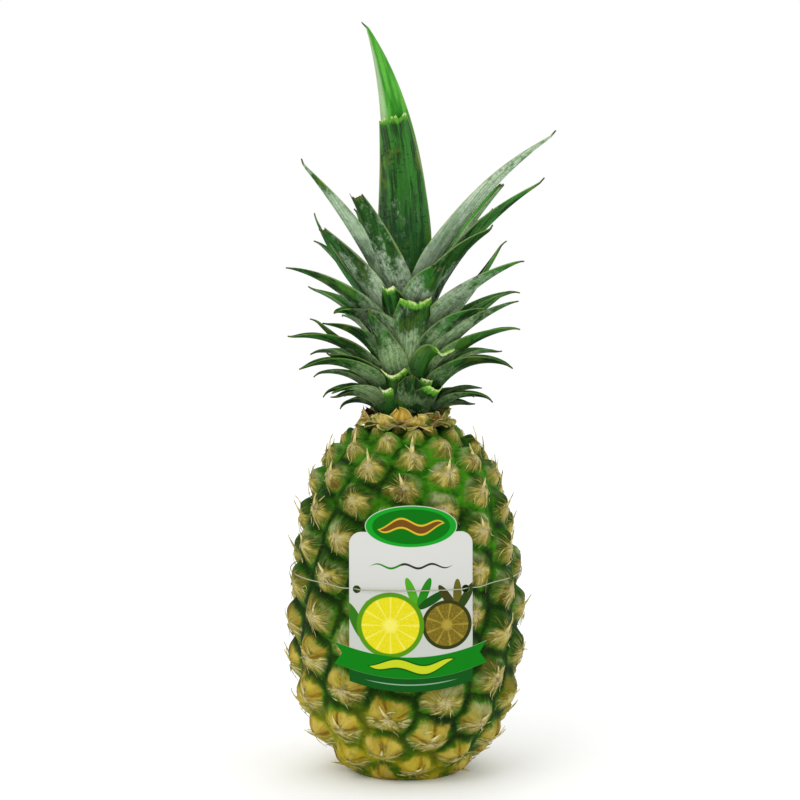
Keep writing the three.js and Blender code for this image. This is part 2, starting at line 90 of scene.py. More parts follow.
def piece_from(name, points, faces, values, material, slot, domain="POINT"):
    """A smooth-shaded object from points in millimetres, carried by the frame."""
    mesh = bpy.data.meshes.new(name)
    mesh.from_pydata((np.asarray(points) * MM).tolist(), [], [tuple(map(int, face)) for face in faces])
    for key, rows in values.items():
        mesh.attributes.new(key, "FLOAT_VECTOR", domain).data.foreach_set("vector", np.ravel(rows))
    mesh.polygons.foreach_set("use_smooth", np.ones(len(mesh.polygons), bool))
    mesh.materials.append(material)
    piece = bpy.data.objects.new(name, mesh)
    bpy.context.scene.collection.objects.link(piece)
    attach(piece, "root")
    print(name, "has", sum(len(face) - 2 for face in faces), "triangles")
    return piece


def lerp(a, b, share):
    return a + (b - a) * share


def smoothstep(value, low, high):
    share = np.clip((np.asarray(value, float) - low) / (high - low), 0, 1)
    return share * share * (3 - 2 * share)


def around(turn, radius, height):
    """A point at a turn round the axis. A turn of 0 faces the tag, and it grows toward +X."""
    turn, radius, height = np.broadcast_arrays(turn, radius, height)
    return np.stack([radius * np.sin(turn), -radius * np.cos(turn), height], axis=-1)


def full_turn(steps):
    """Turns at even steps, once round."""
    return np.linspace(0, 2 * math.pi, steps, endpoint=False)


def rings_round(outline, turns):
    """A ring of points round the axis for each radius and height of an outline."""
    return [around(turns, radius, height) for radius, height in outline]


def unit(vector):
    return vector / np.linalg.norm(vector, axis=-1, keepdims=True)


def turned(vector, axis, angle):
    """vector turned about a unit axis that is square to it."""
    angle = np.asarray(angle)[..., None]
    return vector * np.cos(angle) + np.cross(axis, vector) * np.sin(angle)


def bumps(points, size, offset=0.0):
    """Smooth noise from -1 to 1 at each point, with hills about as wide as size."""
    return np.array([noise.noise(Vector(point) / size + Vector((offset, 0, 0))) for point in points.tolist()])


# %% [markdown]
# ## Tools for materials
# All finishes are worked out by shader nodes, with no pictures. Linking nodes one at a time makes a long
# script, so a node's output is kept as a Field, which can be added to and multiplied by others as a number
# can. eased turns a field into a soft mask, and mix lays a second colour over a first where the mask is 1.
# What several finishes share, such as fine fibres, is a node group, made once and placed in each with its
# own numbers.

# %% Short calls for shader nodes
def colour(code):
    """A web colour code as the linear colour that shaders use."""
    parts = [int(code[k:k + 2], 16) / 255 for k in (0, 2, 4)]
    linear = [part / 12.92 if part <= 0.04045 else ((part + 0.055) / 1.055) ** 2.4 for part in parts]
    return (*linear, 1.0)


class Field:
    """A node's output: a number or a colour that changes over the surface."""

    def __init__(self, recipe, socket):
        self.recipe, self.socket = recipe, socket

    def __add__(self, other):
        return self.recipe.math("ADD", self, other)

    def __sub__(self, other):
        return self.recipe.math("SUBTRACT", self, other)

    def __rsub__(self, other):
        return self.recipe.math("SUBTRACT", other, self)

    def __mul__(self, other):
        return self.recipe.math("MULTIPLY", self, other)

    def __truediv__(self, other):
        return self.recipe.math("DIVIDE", self, other)

    def __pow__(self, other):
        return self.recipe.math("POWER", self, other)

    def __abs__(self):
        return self.recipe.math("ABSOLUTE", self)

    __radd__ = __add__

    def eased(self, low, high, to_low=0.0, to_high=1.0):
        """This field eased from low..high to to_low..to_high, and held there outside."""
        inputs = {"Value": self, "From Min": low, "From Max": high, "To Min": to_low, "To Max": to_high}
        return self.recipe.made("ShaderNodeMapRange", inputs, interpolation_type="SMOOTHSTEP")

    def mix(self, first, second, how="MIX"):
        """The first colour where this field is 0, and the second where it is 1."""
        settings = dict(data_type="RGBA", blend_type=how, clamp_factor=True)
        return self.recipe.made("ShaderNodeMix", {0: self, 6: first, 7: second}, 2, **settings)


class Recipe:
    """The nodes of one material or group, made and linked with short calls."""

    def __init__(self, tree):
        self.tree = tree

    def put(self, socket, value):
        if isinstance(value, Field):
            self.tree.links.new(value.socket, socket)
        else:
            socket.default_value = colour(value) if isinstance(value, str) else value

    def node(self, kind, inputs, **settings):
        made = self.tree.nodes.new(kind)
        for key, value in settings.items():
            setattr(made, key, value)
        for key, value in inputs.items():
            self.put(made.inputs[key], value)
        return made

    def made(self, kind, inputs, output=0, **settings):
        return Field(self, self.node(kind, inputs, **settings).outputs[output])

    def math(self, operation, first, second=0.0):
        return self.made("ShaderNodeMath", {0: first, 1: second}, operation=operation)

    def split(self, vector):
        return [Field(self, output) for output in self.node("ShaderNodeSeparateXYZ", {0: vector}).outputs]

    def value(self, name):
        """The three numbers that the mesh keeps under a name."""
        return self.split(self.made("ShaderNodeAttribute", {}, "Vector", attribute_name=name))

    def place(self):
        return self.made("ShaderNodeTexCoord", {}, "Object")

    def vector(self, x, y, z=0.0):
        return self.made("ShaderNodeCombineXYZ", {0: x, 1: y, 2: z})

    def noise(self, vector, scale, detail=3.0, rough=0.55):
        inputs = {"Vector": vector, "Scale": scale, "Detail": detail, "Roughness": rough}
        return self.made("ShaderNodeTexNoise", inputs)

    def group(self, tree, **inputs):
        placed = self.node("ShaderNodeGroup", {}, node_tree=tree)
        for key, value in inputs.items():
            self.put(placed.inputs[key], value)
        return {output.name: Field(self, output) for output in placed.outputs}


def new_group(name, inputs, outputs):
    """An empty shader group with number inputs, as {name: default}, and named number outputs."""
    tree = bpy.data.node_groups.new(name, "ShaderNodeTree")
    for key, default in inputs.items():
        tree.interface.new_socket(key, in_out="INPUT", socket_type="NodeSocketFloat").default_value = default
    for key in outputs:
        tree.interface.new_socket(key, in_out="OUTPUT", socket_type="NodeSocketFloat")
    recipe = Recipe(tree)
    given = {output.name: Field(recipe, output) for output in recipe.node("NodeGroupInput", {}).outputs}
    return recipe, given, recipe.node("NodeGroupOutput", {}).inputs


def finish(name, make_surface, **fixed):
    """A material whose make_surface(recipe) gives colour, roughness, bump height and bump distance."""
    material = bpy.data.materials.new(name)
    material.use_nodes = True
    recipe = Recipe(material.node_tree)
    base, roughness, height, distance = make_surface(recipe)
    bump = recipe.made("ShaderNodeBump", {"Height": height, "Distance": distance, "Strength": 1.0})
    shader = material.node_tree.nodes["Principled BSDF"]
    for key, value in (("Base Color", base), ("Roughness", roughness), ("Normal", bump)):
        recipe.put(shader.inputs[key], value)
    for key, value in fixed.items():
        shader.inputs[key.replace("_", " ")].default_value = value
    return material


# %% Fibres, for any finish
def make_fibres():
    """Fine lines: the noise is squeezed across them and drawn out along them."""
    inputs = {"Across": 0.0, "Along": 0.0, "Seed": 0.0, "Fineness": 20.0, "Length": 1.0}
    recipe, given, out = new_group("fibres", inputs, ["Mask", "Height"])
    across = given["Across"] * given["Fineness"]
    along = given["Along"] * given["Length"]
    lines = recipe.noise(recipe.vector(across, along, given["Seed"]), 1.0, detail=3.0, rough=0.6)
    recipe.put(out["Mask"], lines.eased(0.38, 0.62))
    recipe.put(out["Height"], lines)
    return recipe.tree


FIBRES = make_fibres()
print("shared effect:", FIBRES.name)

# %% [markdown]
# ## Blades
# Leaves, bracts and spines are all blades: a path with a direction across it and one out of its lower side,
# a width that narrows to the tip, a channel down the upper side, and a thickness that thins to the edges.
# A curve with a bevel would be quicker, but it has no channel and no pointed end. One function makes them
# all, so a spine is just a very narrow leaf.

# %% A blade along a path
def blade(path, share, half, channel, thick, edge, sides=12, wave=0):
    """Closed blade, and for each point how far it is across and along, and whether it is on the lower side.

    path gives (place, across, under) at 0..1, and share, half and thick run along it.
    """
    side = np.linspace(-1, 1, sides + 1)[None, :]
    share = share if np.ndim(share) == 2 else np.asarray(share)[:, None]
    share = np.broadcast_to(share, (len(half), sides + 1))
    samples = np.linspace(0, 1, len(path[0]))
    place, across, under = (
        np.stack([np.interp(share, samples, row[:, axis]) for axis in range(3)], axis=-1) for row in path
    )
    half, thick = np.asarray(half)[:, None], np.asarray(thick)[:, None]
    sag = wave - 2 * half * channel * np.abs(side) ** 1.6
    body = lerp(thick, edge, np.abs(side) ** 1.5)
    spread = place + across * (half * side)[..., None]
    upper = spread + under * sag[..., None]
    lower = spread + under * (sag + body)[..., None]
    points, faces = loft(list(np.concatenate([upper, lower[:, ::-1]], axis=1)))
    around_edge = [(side, side[:, ::-1]), (share, share[:, ::-1]), (0 * side, 0 * side + 1)]
    rows = (np.broadcast_to(np.hstack(pair), (len(half), 2 * sides + 2)).ravel() for pair in around_edge)
    return points, faces, *rows

# %% [markdown]
# ## The skin of eyes
# A pineapple is many small fruits grown together, and each shows as an eye. They sit on one spiral: every eye
# is turned by the same angle from the last and climbs a little. The pattern of 8 and 13 rows comes from that
# rule alone, so the rule is written down and no eye is placed by hand. Each eye is a six-sided patch between
# its neighbours, cut into small triangles, and its surface sinks toward the edges as a rounded mound.

# %% The outline and the spiral
FRUIT_OUTLINE = np.array([
    [0, -4], [14, -3.2], [23, -1.6], [28.5, 1.2], [36.5, 7.5], [46, 18], [53.5, 33], [57.5, 52], [59, 75],
    [57.8, 98], [55, 116], [51, 136], [45, 153], [37, 163.5], [28, 171], [18, 175.5], [0, 177.5],
])
NECK_HEIGHT = 174
EYE_RELIEF = 4.2  # depth of the valleys between the eyes
RELIEF_START, RELIEF_FULL = 24, 44  # the relief grows between these lengths along the outline
DIVERGENCE = math.radians(137.98)  # from each eye to the next
FIRST_EYE_TURN = math.radians(253.9)
FIRST_EYE_CLIMB, EYE_CLIMB, EYE_CLIMB_LOSS = 25.5, 1.88, 0.0025
EYE_REACH = 1.36
NEIGHBOURS = [13, 5, -8, -13, -5, 8]  # in steps along the spiral, in order round an eye
FURTHER_NEIGHBOURS = [3, -3, 21, -21]
POLE_MARGIN = 1  # an eye is whole if it ends this far from both poles


def smooth_curve(points, steps):
    """A curve through all the points, with this many steps from each one to the next."""
    padded = np.vstack([points[:1], points, points[-1:]])
    share = (np.arange(steps) / steps)[:, None]
    spans = []
    for before, start, end, after in zip(padded, padded[1:], padded[2:], padded[3:]):
        leave, arrive = (end - before) / 2, (after - start) / 2
        cubic = 2 * (start - end) + leave + arrive
        square = 3 * (end - start) - 2 * leave - arrive
        spans.append(cubic * share**3 + square * share**2 + leave * share + start)
    return np.vstack([*spans, points[-1:]])


profile = smooth_curve(FRUIT_OUTLINE, 40)
profile_slope = unit(np.gradient(profile, axis=0))
profile_along = np.concatenate([[0], np.cumsum(np.linalg.norm(np.diff(profile, axis=0), axis=1))])
outline_length = profile_along[-1]


def on_profile(along, rows):
    return np.interp(along, profile_along, rows[:, 0]), np.interp(along, profile_along, rows[:, 1])


def skin_point(turn, along, raised):
    """The skin at a turn and a length along the outline, raised from the tops of the eyes."""
    radius, height = on_profile(along, profile)
    run, climb = on_profile(along, profile_slope)
    return around(turn, np.maximum(radius + raised * climb, 0), height - raised * run)


def eye_along(eye):
    return FIRST_EYE_CLIMB + EYE_CLIMB * eye - EYE_CLIMB_LOSS * eye * eye


def eye_turn(eye):
    return FIRST_EYE_TURN - eye * DIVERGENCE


def turn_to(steps):
    turned = -steps * DIVERGENCE
    return turned - 2 * math.pi * round(turned / (2 * math.pi))


def eye_reach(along):
    """How far a mound reaches from its middle, which shrinks toward both poles."""
    climb = np.sqrt(EYE_CLIMB**2 - 4 * EYE_CLIMB_LOSS * (along - FIRST_EYE_CLIMB))
    return EYE_REACH * np.sqrt(on_profile(along, profile)[0] * climb)


def eye_corners(eye):
    """Turn and length along the outline of an eye's six corners."""
    corners = []
    for first, second in zip(NEIGHBOURS, NEIGHBOURS[1:] + NEIGHBOURS[:1]):
        turn = eye_turn(eye) + (turn_to(first) + turn_to(second)) / 3
        corners.append((turn, (eye_along(eye) + eye_along(eye + first) + eye_along(eye + second)) / 3))
    return np.array(corners)


def is_whole(eye):
    along = eye_corners(eye)[:, 1]
    return along.min() > POLE_MARGIN and along.max() < outline_length - POLE_MARGIN


EYES = [eye for eye in range(-20, 200) if eye_along(eye) < outline_length - POLE_MARGIN and is_whole(eye)]
print("eyes:", len(EYES), "outline length:", round(outline_length, 1))

# %% [markdown]
# ## The shape of one eye
# An eye isn't a plain mound. A dry bract lies over its lower half like a fan, and ends in a ledge across the
# middle, where its tip stands out as a spine. Above the ledge lie the sepals, as two or three lobes with
# creases between them. They are flat and green high on the fruit, and swollen and golden where it is ripe.
# All of it is height added to the mound, and the lobes and the ledge are kept for the finish to read.

# %% Height over one eye
LEDGE, FOLD, LOBE, NAVEL = 0.5, 0.16, 1.1, 0.8  # heights
SEPALS = 1.3  # how far the upper half of an unripe eye is swollen
STAR_DROP = 0.14  # how far the tip of the bract is below the middle of the eye
RIPE_BELOW, RIPE_FADE = 45, 40  # the eyes are ripe below this height, and less so as far above it
EYE_SPACING = 1.98  # from one middle to the next, as a share of a mound's reach
WANDER, WANDER_SIZE = 1.3, 7.0  # the edges of the eyes wander this far, so that no valley is straight


def valley(far):
    """How far the skin has sunk at a distance from the middle of an eye: slowly at first, then to a floor."""
    far = np.minimum(far, 1)
    return EYE_RELIEF * far**3 * (4 - 3 * far)


def eye_height(x, y, rise, share, seed, height):
    """Height over an eye's mound, how much of a lobe there is, and how far each place is above the ledge.

    x and y are places from the bract's tip, rise is the same as y but for the nearest eye, and share is 1 at
    the edge of the eye.
    """
    ripe = 1 - smoothstep(height, RIPE_BELOW, RIPE_BELOW + RIPE_FADE)
    inside = 1 - smoothstep(share, 0.5, 0.97)
    angle, far = np.arctan2(x, -y), np.hypot(x, y)
    above = rise - 0.1 + 0.06 * ripe + 0.2 * np.minimum(np.abs(x), 0.5) + 0.06 * np.sin(9 * x + 6 * seed)
    ledge = LEDGE * (1 - smoothstep(above, -0.14, 0.12)) * (1 - smoothstep(share, 0.25, 0.95))
    folds = FOLD * np.cos(13 * angle + 9 * seed + 3 * far) * smoothstep(far, 0.12, 0.35) * inside
    folds = folds + 0.5 * FOLD * np.cos(29 * angle + 23 * seed) * smoothstep(far, 0.2, 0.45) * inside
    lobe = np.abs(np.sin(2 * np.arctan2(x, y) + 1.2 * (seed - 0.5))) ** 0.6
    swollen = LOBE * (lobe - 0.6) * smoothstep(far, 0.05, 0.3) * smoothstep(above, -0.05, 0.15) * inside
    navel = -NAVEL * np.exp(-((far / 0.11) ** 2))
    sepals = SEPALS * (1 - ripe) * np.exp(-(x**2 + (y - 0.5) ** 2) / 0.09)
    return ledge + folds + sepals + swollen * lerp(0.35, 1, ripe) + navel * ripe, lobe, above


# %% The fruit's skin
CELLS = 14  # triangles along each side of an eye
WELL_RADIUS, WELL_SLOPE, WELL_DEPTH, WELL_BELOW = 14, 3, 2.6, 10
UNEVEN, UNEVEN_SIZE, UNEVEN_ABOVE = 0.22, 5.0, 8  # fine unevenness, which stops above where the fruit stands
END_PLACE, END_LOOK = [0.0, 0.9, 0.5], [0.9, 0.5, 0.8]  # what the finish reads at both poles


def sector_grid():
    """One of an eye's six triangles as (share outward, share across) rows and the triangles over them."""
    rows = [(ring / CELLS, step / max(ring, 1)) for ring in range(CELLS + 1) for step in range(ring + 1)]
    triangles = []
    for ring in range(CELLS):
        here, beyond = ring * (ring + 1) // 2, (ring + 1) * (ring + 2) // 2
        for step in range(ring + 1):
            triangles.append((here + step, beyond + step + 1, beyond + step))
            if step < ring:
                triangles.append((here + step, here + step + 1, beyond + step + 1))
    return np.array(rows), np.array(triangles)


def eye_patch(eye, seed):
    """Points of an eye's six triangles, and for each its place in the eye, share outward, lobe and ledge."""
    grid, _ = sector_grid()
    out, across = grid[:, 0], grid[:, 1]
    left = eye_corners(eye)
    right = np.roll(left, -1, axis=0)
    edge = left[:, None, :] + (right - left)[:, None, :] * across[None, :, None]
    middle = np.array([eye_turn(eye), eye_along(eye)])
    turn, along = np.moveaxis(middle + (edge - middle) * out[None, :, None], 2, 0)
    radius, reach = on_profile(along, profile)[0], eye_reach(along)
    here = skin_point(turn, along, 0).reshape(-1, 3)
    aside, aloft = (WANDER * bumps(here, WANDER_SIZE, offset).reshape(turn.shape) for offset in (0, 50))
    x, y = [], []
    for steps in [0, *NEIGHBOURS, *FURTHER_NEIGHBOURS]:
        x.append((radius * (turn - middle[0] - turn_to(steps)) + aside) / reach)
        y.append((along - eye_along(eye + steps) + aloft) / reach)
    far = np.hypot(x, y)
    order = np.argsort(far, axis=0)[:2]
    nearest, second = np.take_along_axis(far, order, axis=0)
    rise = np.take_along_axis(np.array(y), order[:1], axis=0)[0] + STAR_DROP
    share = np.clip(1 - (second - nearest) / EYE_SPACING, 0, 1)
    x, y = x[0], y[0] + STAR_DROP
    over, lobe, above = eye_height(x, y, rise, share, seed, on_profile(along, profile)[1])
    over = over * (1 - smoothstep(out, 0.75, 1))
    raised = smoothstep(along, RELIEF_START, RELIEF_FULL) * (over - valley(nearest))
    places = np.stack([x, y, share, lobe, above], axis=-1)
    return skin_point(turn, along, raised).reshape(-1, 3), places.reshape(-1, 5)


def closed_ends(points, faces):
    """Fans that close the open ring round each pole."""
    edges = {(int(a), int(b)) for face in faces for a, b in zip(face, np.roll(face, -1))}
    poles = np.array([[0, 0, 0], [0, 0, NECK_HEIGHT]], float)
    fans = []
    for start, end in edges:
        if (end, start) not in edges:
            pole = len(points) + int(points[start, 2] > NECK_HEIGHT / 2)
            fans.append((end, start, pole))
    return np.vstack([points, poles]), fans


def flattened(points):
    """The skin pressed flat where it stands and at the neck, with a shallow well for the cut stalk."""
    points[:, 2] = np.clip(points[:, 2], 0, NECK_HEIGHT)
    from_axis = np.hypot(points[:, 0], points[:, 1])
    low = points[:, 2] < WELL_BELOW
    points[low, 2] += WELL_DEPTH * (1 - smoothstep(from_axis[low], WELL_RADIUS - WELL_SLOPE, WELL_RADIUS))
    return points


def fruit_skin():
    chance = random.Random(4)
    triangles = sector_grid()[1]
    sector = (CELLS + 1) * (CELLS + 2) // 2
    seeds = [chance.random() for _ in EYES]
    patches = [eye_patch(eye, seed) for eye, seed in zip(EYES, seeds)]
    points, places = (np.vstack(rows) for rows in zip(*patches))
    seeds = np.repeat(seeds, 6 * sector)
    faces = np.vstack([triangles + count * sector for count in range(6 * len(EYES))])
    _, first, merged = np.unique(np.round(points, 3), axis=0, return_index=True, return_inverse=True)
    merged_faces = merged.reshape(-1)[faces]
    solid = (np.diff(np.sort(merged_faces, axis=1), axis=1) > 0).all(axis=1)
    corners, merged_faces = faces[solid].ravel(), merged_faces[solid]
    skin, fans = closed_ends(points[first], merged_faces)
    ends = np.ones((3 * len(fans), 1))
    values = {
        "eye_place": np.vstack([table(*places[corners, :2].T, seeds[corners]), ends * END_PLACE]),
        "eye_look": np.vstack([places[corners, 2:], ends * END_LOOK]),
    }
    outward = unit(skin * [1, 1, 0.01] + 1e-9) * (skin[:, 2:] > UNEVEN_ABOVE)
    skin += outward * (UNEVEN * bumps(skin, UNEVEN_SIZE))[:, None]
    return flattened(skin), [*merged_faces.tolist(), *fans], values


# %% [markdown]
# ## The colour of the skin
# The bract over each eye dries to a ragged star of straw, palest at its tip, whose rim frays into green.
# Above its ledge the eye is dark green under a milky bloom. Between the eyes the skin is fresh green,
# brightest at the shoulder, with painted shade, nearly black, where one eye shades the next. Low down the
# lobes ripen to a dull gold with brown creases and a painted highlight on their tops, and one side is
# riper than the other. A picture wrapped round the fruit would show its seam and its pixels, so every patch
# is a mask made from the place in the eye, its lobes, its ledge and some noise.

# %% Skin finish
TINT_SHIFT = (0.3, 0.1, 0.2)  # moves the noise of the straw's tint away from the others
RIPE_TILT = 0.45  # how much lower the ripe part ends for each step to the right


def skin_surface(recipe):
    x, y, seed = recipe.value("eye_place")
    share, lobe, above = recipe.value("eye_look")
    place = recipe.place()
    far = recipe.math("SQRT", x ** 2.0 + y ** 2.0)
    near = recipe.math("MAXIMUM", far, 0.05)
    side, rise = x / near, y / near
    shift = seed * 40.0

    def star(count, run):
        """Noise drawn out along the lines that run out from an eye's middle, from about -0.5 to 0.5."""
        around_eye = recipe.vector(side * count + shift, rise * count, far * run)
        return recipe.noise(around_eye, 1.0, rough=0.65) - 0.5

    points, threads = star(2.2, 1.2), star(11.0, 1.4)
    cloud = recipe.noise(place, 120.0, detail=5.0, rough=0.62)
    patches = recipe.noise(place, 45.0, detail=3.0)
    tint = recipe.noise(recipe.made("ShaderNodeVectorMath", {0: place, 1: TINT_SHIFT}), 85.0)
    grain = recipe.noise(place, 420.0, detail=4.0, rough=0.7)
    aside, _, height = recipe.split(place)
    wander = (patches - 0.5) * 0.09
    level = height + aside * RIPE_TILT + wander
    ripe = level.eased(0.085, 0.03)
    shoulder = level.eased(0.115, 0.155)

    # Fresh green between the eyes, brighter at the shoulder and yellow near the floor.
    fresh = cloud.eased(0.38, 0.62).mix("163A02", "33700A")
    fresh = patches.eased(0.5, 0.62, 0.0, 0.6).mix(fresh, "4E8E10")
    bright = shoulder * patches.eased(0.42, 0.58, 0.15, 1.0)
    fresh = bright.mix(fresh, cloud.eased(0.36, 0.6).mix("1E5C02", "46960E"))
    fresh = threads.eased(0.06, 0.2, 0.0, 0.7).mix(fresh, "7E9C3C")
    yellow = patches.eased(0.44, 0.62).mix("4C6E08", "B8B216")
    low = level.eased(0.04, 0.004)
    fresh = (low * patches.eased(0.34, 0.48)).mix(fresh, yellow)

    # The cap of sepals above the ledge: green under bloom, or gold where the eye is ripe.
    milky = cloud.eased(0.4, 0.6).mix("5E7C34", "ACB47E")
    cap = patches.eased(0.46, 0.64, 0.0, 0.85).mix("26480A", milky)
    reached = threads.eased(0.03, 0.14) * far.eased(0.95, 0.35, 0.1, 0.9)
    cap = reached.mix(cap, "AE9A54")
    gold = threads.eased(-0.2, 0.2).mix("9C862A", "B89E3A")
    # Painted highlight: the tops of the ripe lobes are lighter.
    gold = lobe.eased(0.7, 1.0, 0.0, 0.5).mix(gold, "D0BE5C")
    gold = cloud.eased(0.5, 0.66, 0.0, 0.65).mix(gold, "8C8A16")
    gold = patches.eased(0.5, 0.36, 0.0, 0.5).mix(gold, "7A6A14")
    crease = lobe + (cloud - 0.5) * 0.8
    gold = crease.eased(0.55, 0.25, 0.0, 0.8).mix(gold, "6E4810")
    cap = ripe.mix(cap, gold)

    # The dry bract: a star of straw that frays into green strands.
    fray = points * 1.4 + threads * 0.9
    aloft = recipe.math("MAXIMUM", y, 0.0) ** 2.0 * 4.0
    fan = recipe.math("SQRT", far ** 2.0 + aloft)
    frayed = fan + fray
    inner = tint.eased(0.4, 0.6).mix("CABE58", "C2B068")
    straw = frayed.eased(0.22, 0.6).mix(inner, "948C30")
    straw = frayed.eased(0.48, 0.85).mix(straw, "52701A")
    straw = threads.eased(0.0, -0.18, 0.0, 0.7).mix(straw, "46390E")
    light = threads.eased(0.01, 0.18) * frayed.eased(0.95, 0.45, 0.0, 0.8)
    straw = light.mix(straw, "E8DE9A")
    straw = fan.eased(0.32, 0.06, 0.0, 0.75).mix(straw, "E2D6A0")
    straw = cloud.eased(0.55, 0.66, 0.0, 0.7).mix(straw, "54380E")
    inside = share.eased(0.98, 0.8)
    dry = frayed.eased(1.16, 0.66) * inside
    strands = frayed.eased(1.3, 0.95) * threads.eased(0.0, 0.12) * inside
    bract = (strands * 0.8).mix(fresh, ripe.mix("8C9048", "9AA270"))
    bract = dry.mix(bract, straw)

    # One laid over another: bract, cap, the green of the neck, the ledge and its shade.
    over = above + fray * 0.45
    upper = over.eased(-0.1, 0.12)
    rim = share + (cloud - 0.5) * 0.5 + threads * ripe.eased(0.2, 1.0, 0.4, 0.1)
    capped = upper * inside * rim.eased(0.82, 0.62)
    body = (1.0 - upper).mix(fresh, bract)
    body = capped.mix(body, cap)
    neck = height.eased(0.158, 0.168) * patches.eased(0.42, 0.54)
    verdant = cloud.eased(0.4, 0.6).mix("1E6E0C", "5AA224")
    body = (neck * 0.7).mix(body, verdant)
    shaded = over.eased(-0.02, 0.03) * over.eased(0.14, 0.05)
    body = (shaded * far.eased(0.55, 0.2, 0.0, 0.6)).mix(body, "3A220A")
    starry = frayed.eased(0.85, 0.4) * ripe.eased(1.0, 0.3, 0.1, 0.9)
    body = (starry * inside).mix(body, straw)
    pale = over.eased(-0.5, -0.1) * over.eased(0.0, -0.06)
    pale = pale * ripe * threads.eased(-0.08, 0.1, 0.0, 0.75)
    body = (pale * inside).mix(body, "E4D69A")

    # Yellow near the floor and on one flank, painted shade in the valleys, and fine grain over all.
    flank = aside.eased(-0.04, -0.053) * height.eased(0.085, 0.05)
    sunny = recipe.math("MAXIMUM", low, flank) * tint.eased(0.46, 0.6, 0.0, 0.6)
    body = sunny.mix(body, "BCAC1E")
    # Painted shade: the valleys go nearly black where one eye shades the next, less so at the shoulder and
    # low down.
    depth = rim + above.eased(-0.6, 0.6) * 0.16
    valley_shade_strength = 0.85 - recipe.math("MAXIMUM", bright, low) * 0.55
    base = (depth.eased(0.8, 1.1) * valley_shade_strength).mix(body, "0A1402")
    base = grain.eased(0.56, 0.7, 0.0, 0.4).mix(base, "1E1A06")
    relief = threads * (0.8 - ripe * upper * 0.5) + cloud * 0.4 + grain * 0.25
    return base, cloud.eased(0.3, 0.7, 0.5, 0.75), relief, 0.0014


SKIN = finish("skin of eyes", skin_surface, Specular_IOR_Level=0.05)
skin = piece_from("fruit_skin", *fruit_skin(), SKIN, "fruit_skin", domain="CORNER")
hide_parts("fruit")

# %% [markdown]
# ## Spines on the eyes
# The bract of each eye ends in a dry tip that stands away from the skin. Real ones differ: some are short
# hooks, some long and curled, and many have frayed fibres beside them. They are the same blades as the
# leaves, only narrow, rooted at the ledge of each eye and bent at random. Hair curves would be less work, but
# blades stay when the model is exported. Where the card and the elastic press on the fruit the tips lie
# flat, so none is drawn there.

# %% Where a spine can stand
TAG_TURN = math.radians(2.4)
TAG_FRONT, TAG_BEND, TAG_CREASE, TAG_LEAN = 60.2, 85, 101, math.radians(7)
TAG_FOOT, TAG_TOP, TAG_REACH = 51.5, 141.3, 36.5
ELASTIC_CLIMB = 1
SPINE_FOOT, SPINE_TOP = 2, 167
SPINE_RISE, SPINE_DROP, SPINE_SIDE = 11, 4, 3  # the room that a spine needs above, below and beside its root
FIBRE_FOOT, FIBRE_TOP, FIBRES_PER_EYE = 4, 171, 7
FIBRE_LIFT, PRESSED_LIFT = 1.4, 0.3  # how far a fibre lifts off the skin, in the open and under the card
CLEAR_OF_FLOOR = 0.3


def elastic_height(turn):
    return TAG_CREASE + ELASTIC_CLIMB * (1 - np.cos(turn))


def spine_stands(turn, height):
    side, depth, _ = around(turn - TAG_TURN, TAG_FRONT, height)
    beside_tag = depth > 0 or abs(side) > TAG_REACH + SPINE_SIDE
    clear_of_tag = beside_tag or height < TAG_FOOT - SPINE_RISE or height > TAG_TOP + SPINE_DROP
    above_elastic = height - elastic_height(turn - TAG_TURN)
    clear_of_elastic = above_elastic < -SPINE_RISE or above_elastic > SPINE_DROP
    return SPINE_FOOT < height < SPINE_TOP and clear_of_tag and clear_of_elastic


# %% Spines and fibres
def dry_values(across, along, seed, lower, kind, length):
    """What the dry finishes read: the place on a blade, its seed, its kind of colour and its length."""
    return {"blade": table(across, along, seed), "blade_look": table(lower + 0 * along, kind, length)}


def spine_path(root, outward, upward, lean, curl, aim, length, steps=24):
    """A path from root that leaves the skin at lean and bends back toward upright, or past it, by curl."""
    side = np.cross(upward, outward)
    share = np.linspace(0, 1, steps + 1)
    angle = np.radians(lean - curl * share**1.3)[:, None]
    under = outward * np.cos(angle) - upward * np.sin(angle)
    along = outward * np.sin(angle) + upward * np.cos(angle)
    along = unit(along + side * np.radians(aim))
    under = unit(under - along * (under * along).sum(axis=1, keepdims=True))
    middle = (along[1:] + along[:-1]) / 2 * (length / steps)
    return np.vstack([root, root + np.cumsum(middle, axis=0)]), np.cross(under, along), under


def spine_part(path, length, width, seed, kind, rows=10, sides=4):
    share = np.linspace(0, 1, rows + 1)
    half = np.maximum(width * (1 - share) ** 0.8, 0.25) / 2
    thick = np.maximum(0.9 * (1 - share), 0.3)
    points, faces, across, along, lower = blade(path, share, half, 0.18, thick, 0.2, sides)
    return points, faces, dry_values(across, along, seed, lower, kind, length)


def eye_spot(eye, x, y):
    """Turn and length along the outline of a place on an eye, and the way outward from the skin there."""
    along = eye_along(eye) + y * eye_reach(eye_along(eye))
    turn = eye_turn(eye) + x * eye_reach(eye_along(eye)) / on_profile(along, profile)[0]
    return turn, along, unit(skin_point(turn, along, 1) - skin_point(turn, along, 0))


def eye_frame(eye, x=0.0, y=0.04 - STAR_DROP):
    """Place on an eye, with the ways outward from the skin and up it."""
    turn, along, outward = eye_spot(eye, x, y)
    upward = unit(skin_point(turn, along + 1, 0) - skin_point(turn, along, 0))
    return skin_point(turn, along, 0.2), outward, upward, turn


def joined_above_floor(parts):
    return joined([part for part in parts if part[0][:, 2].min() > CLEAR_OF_FLOOR])


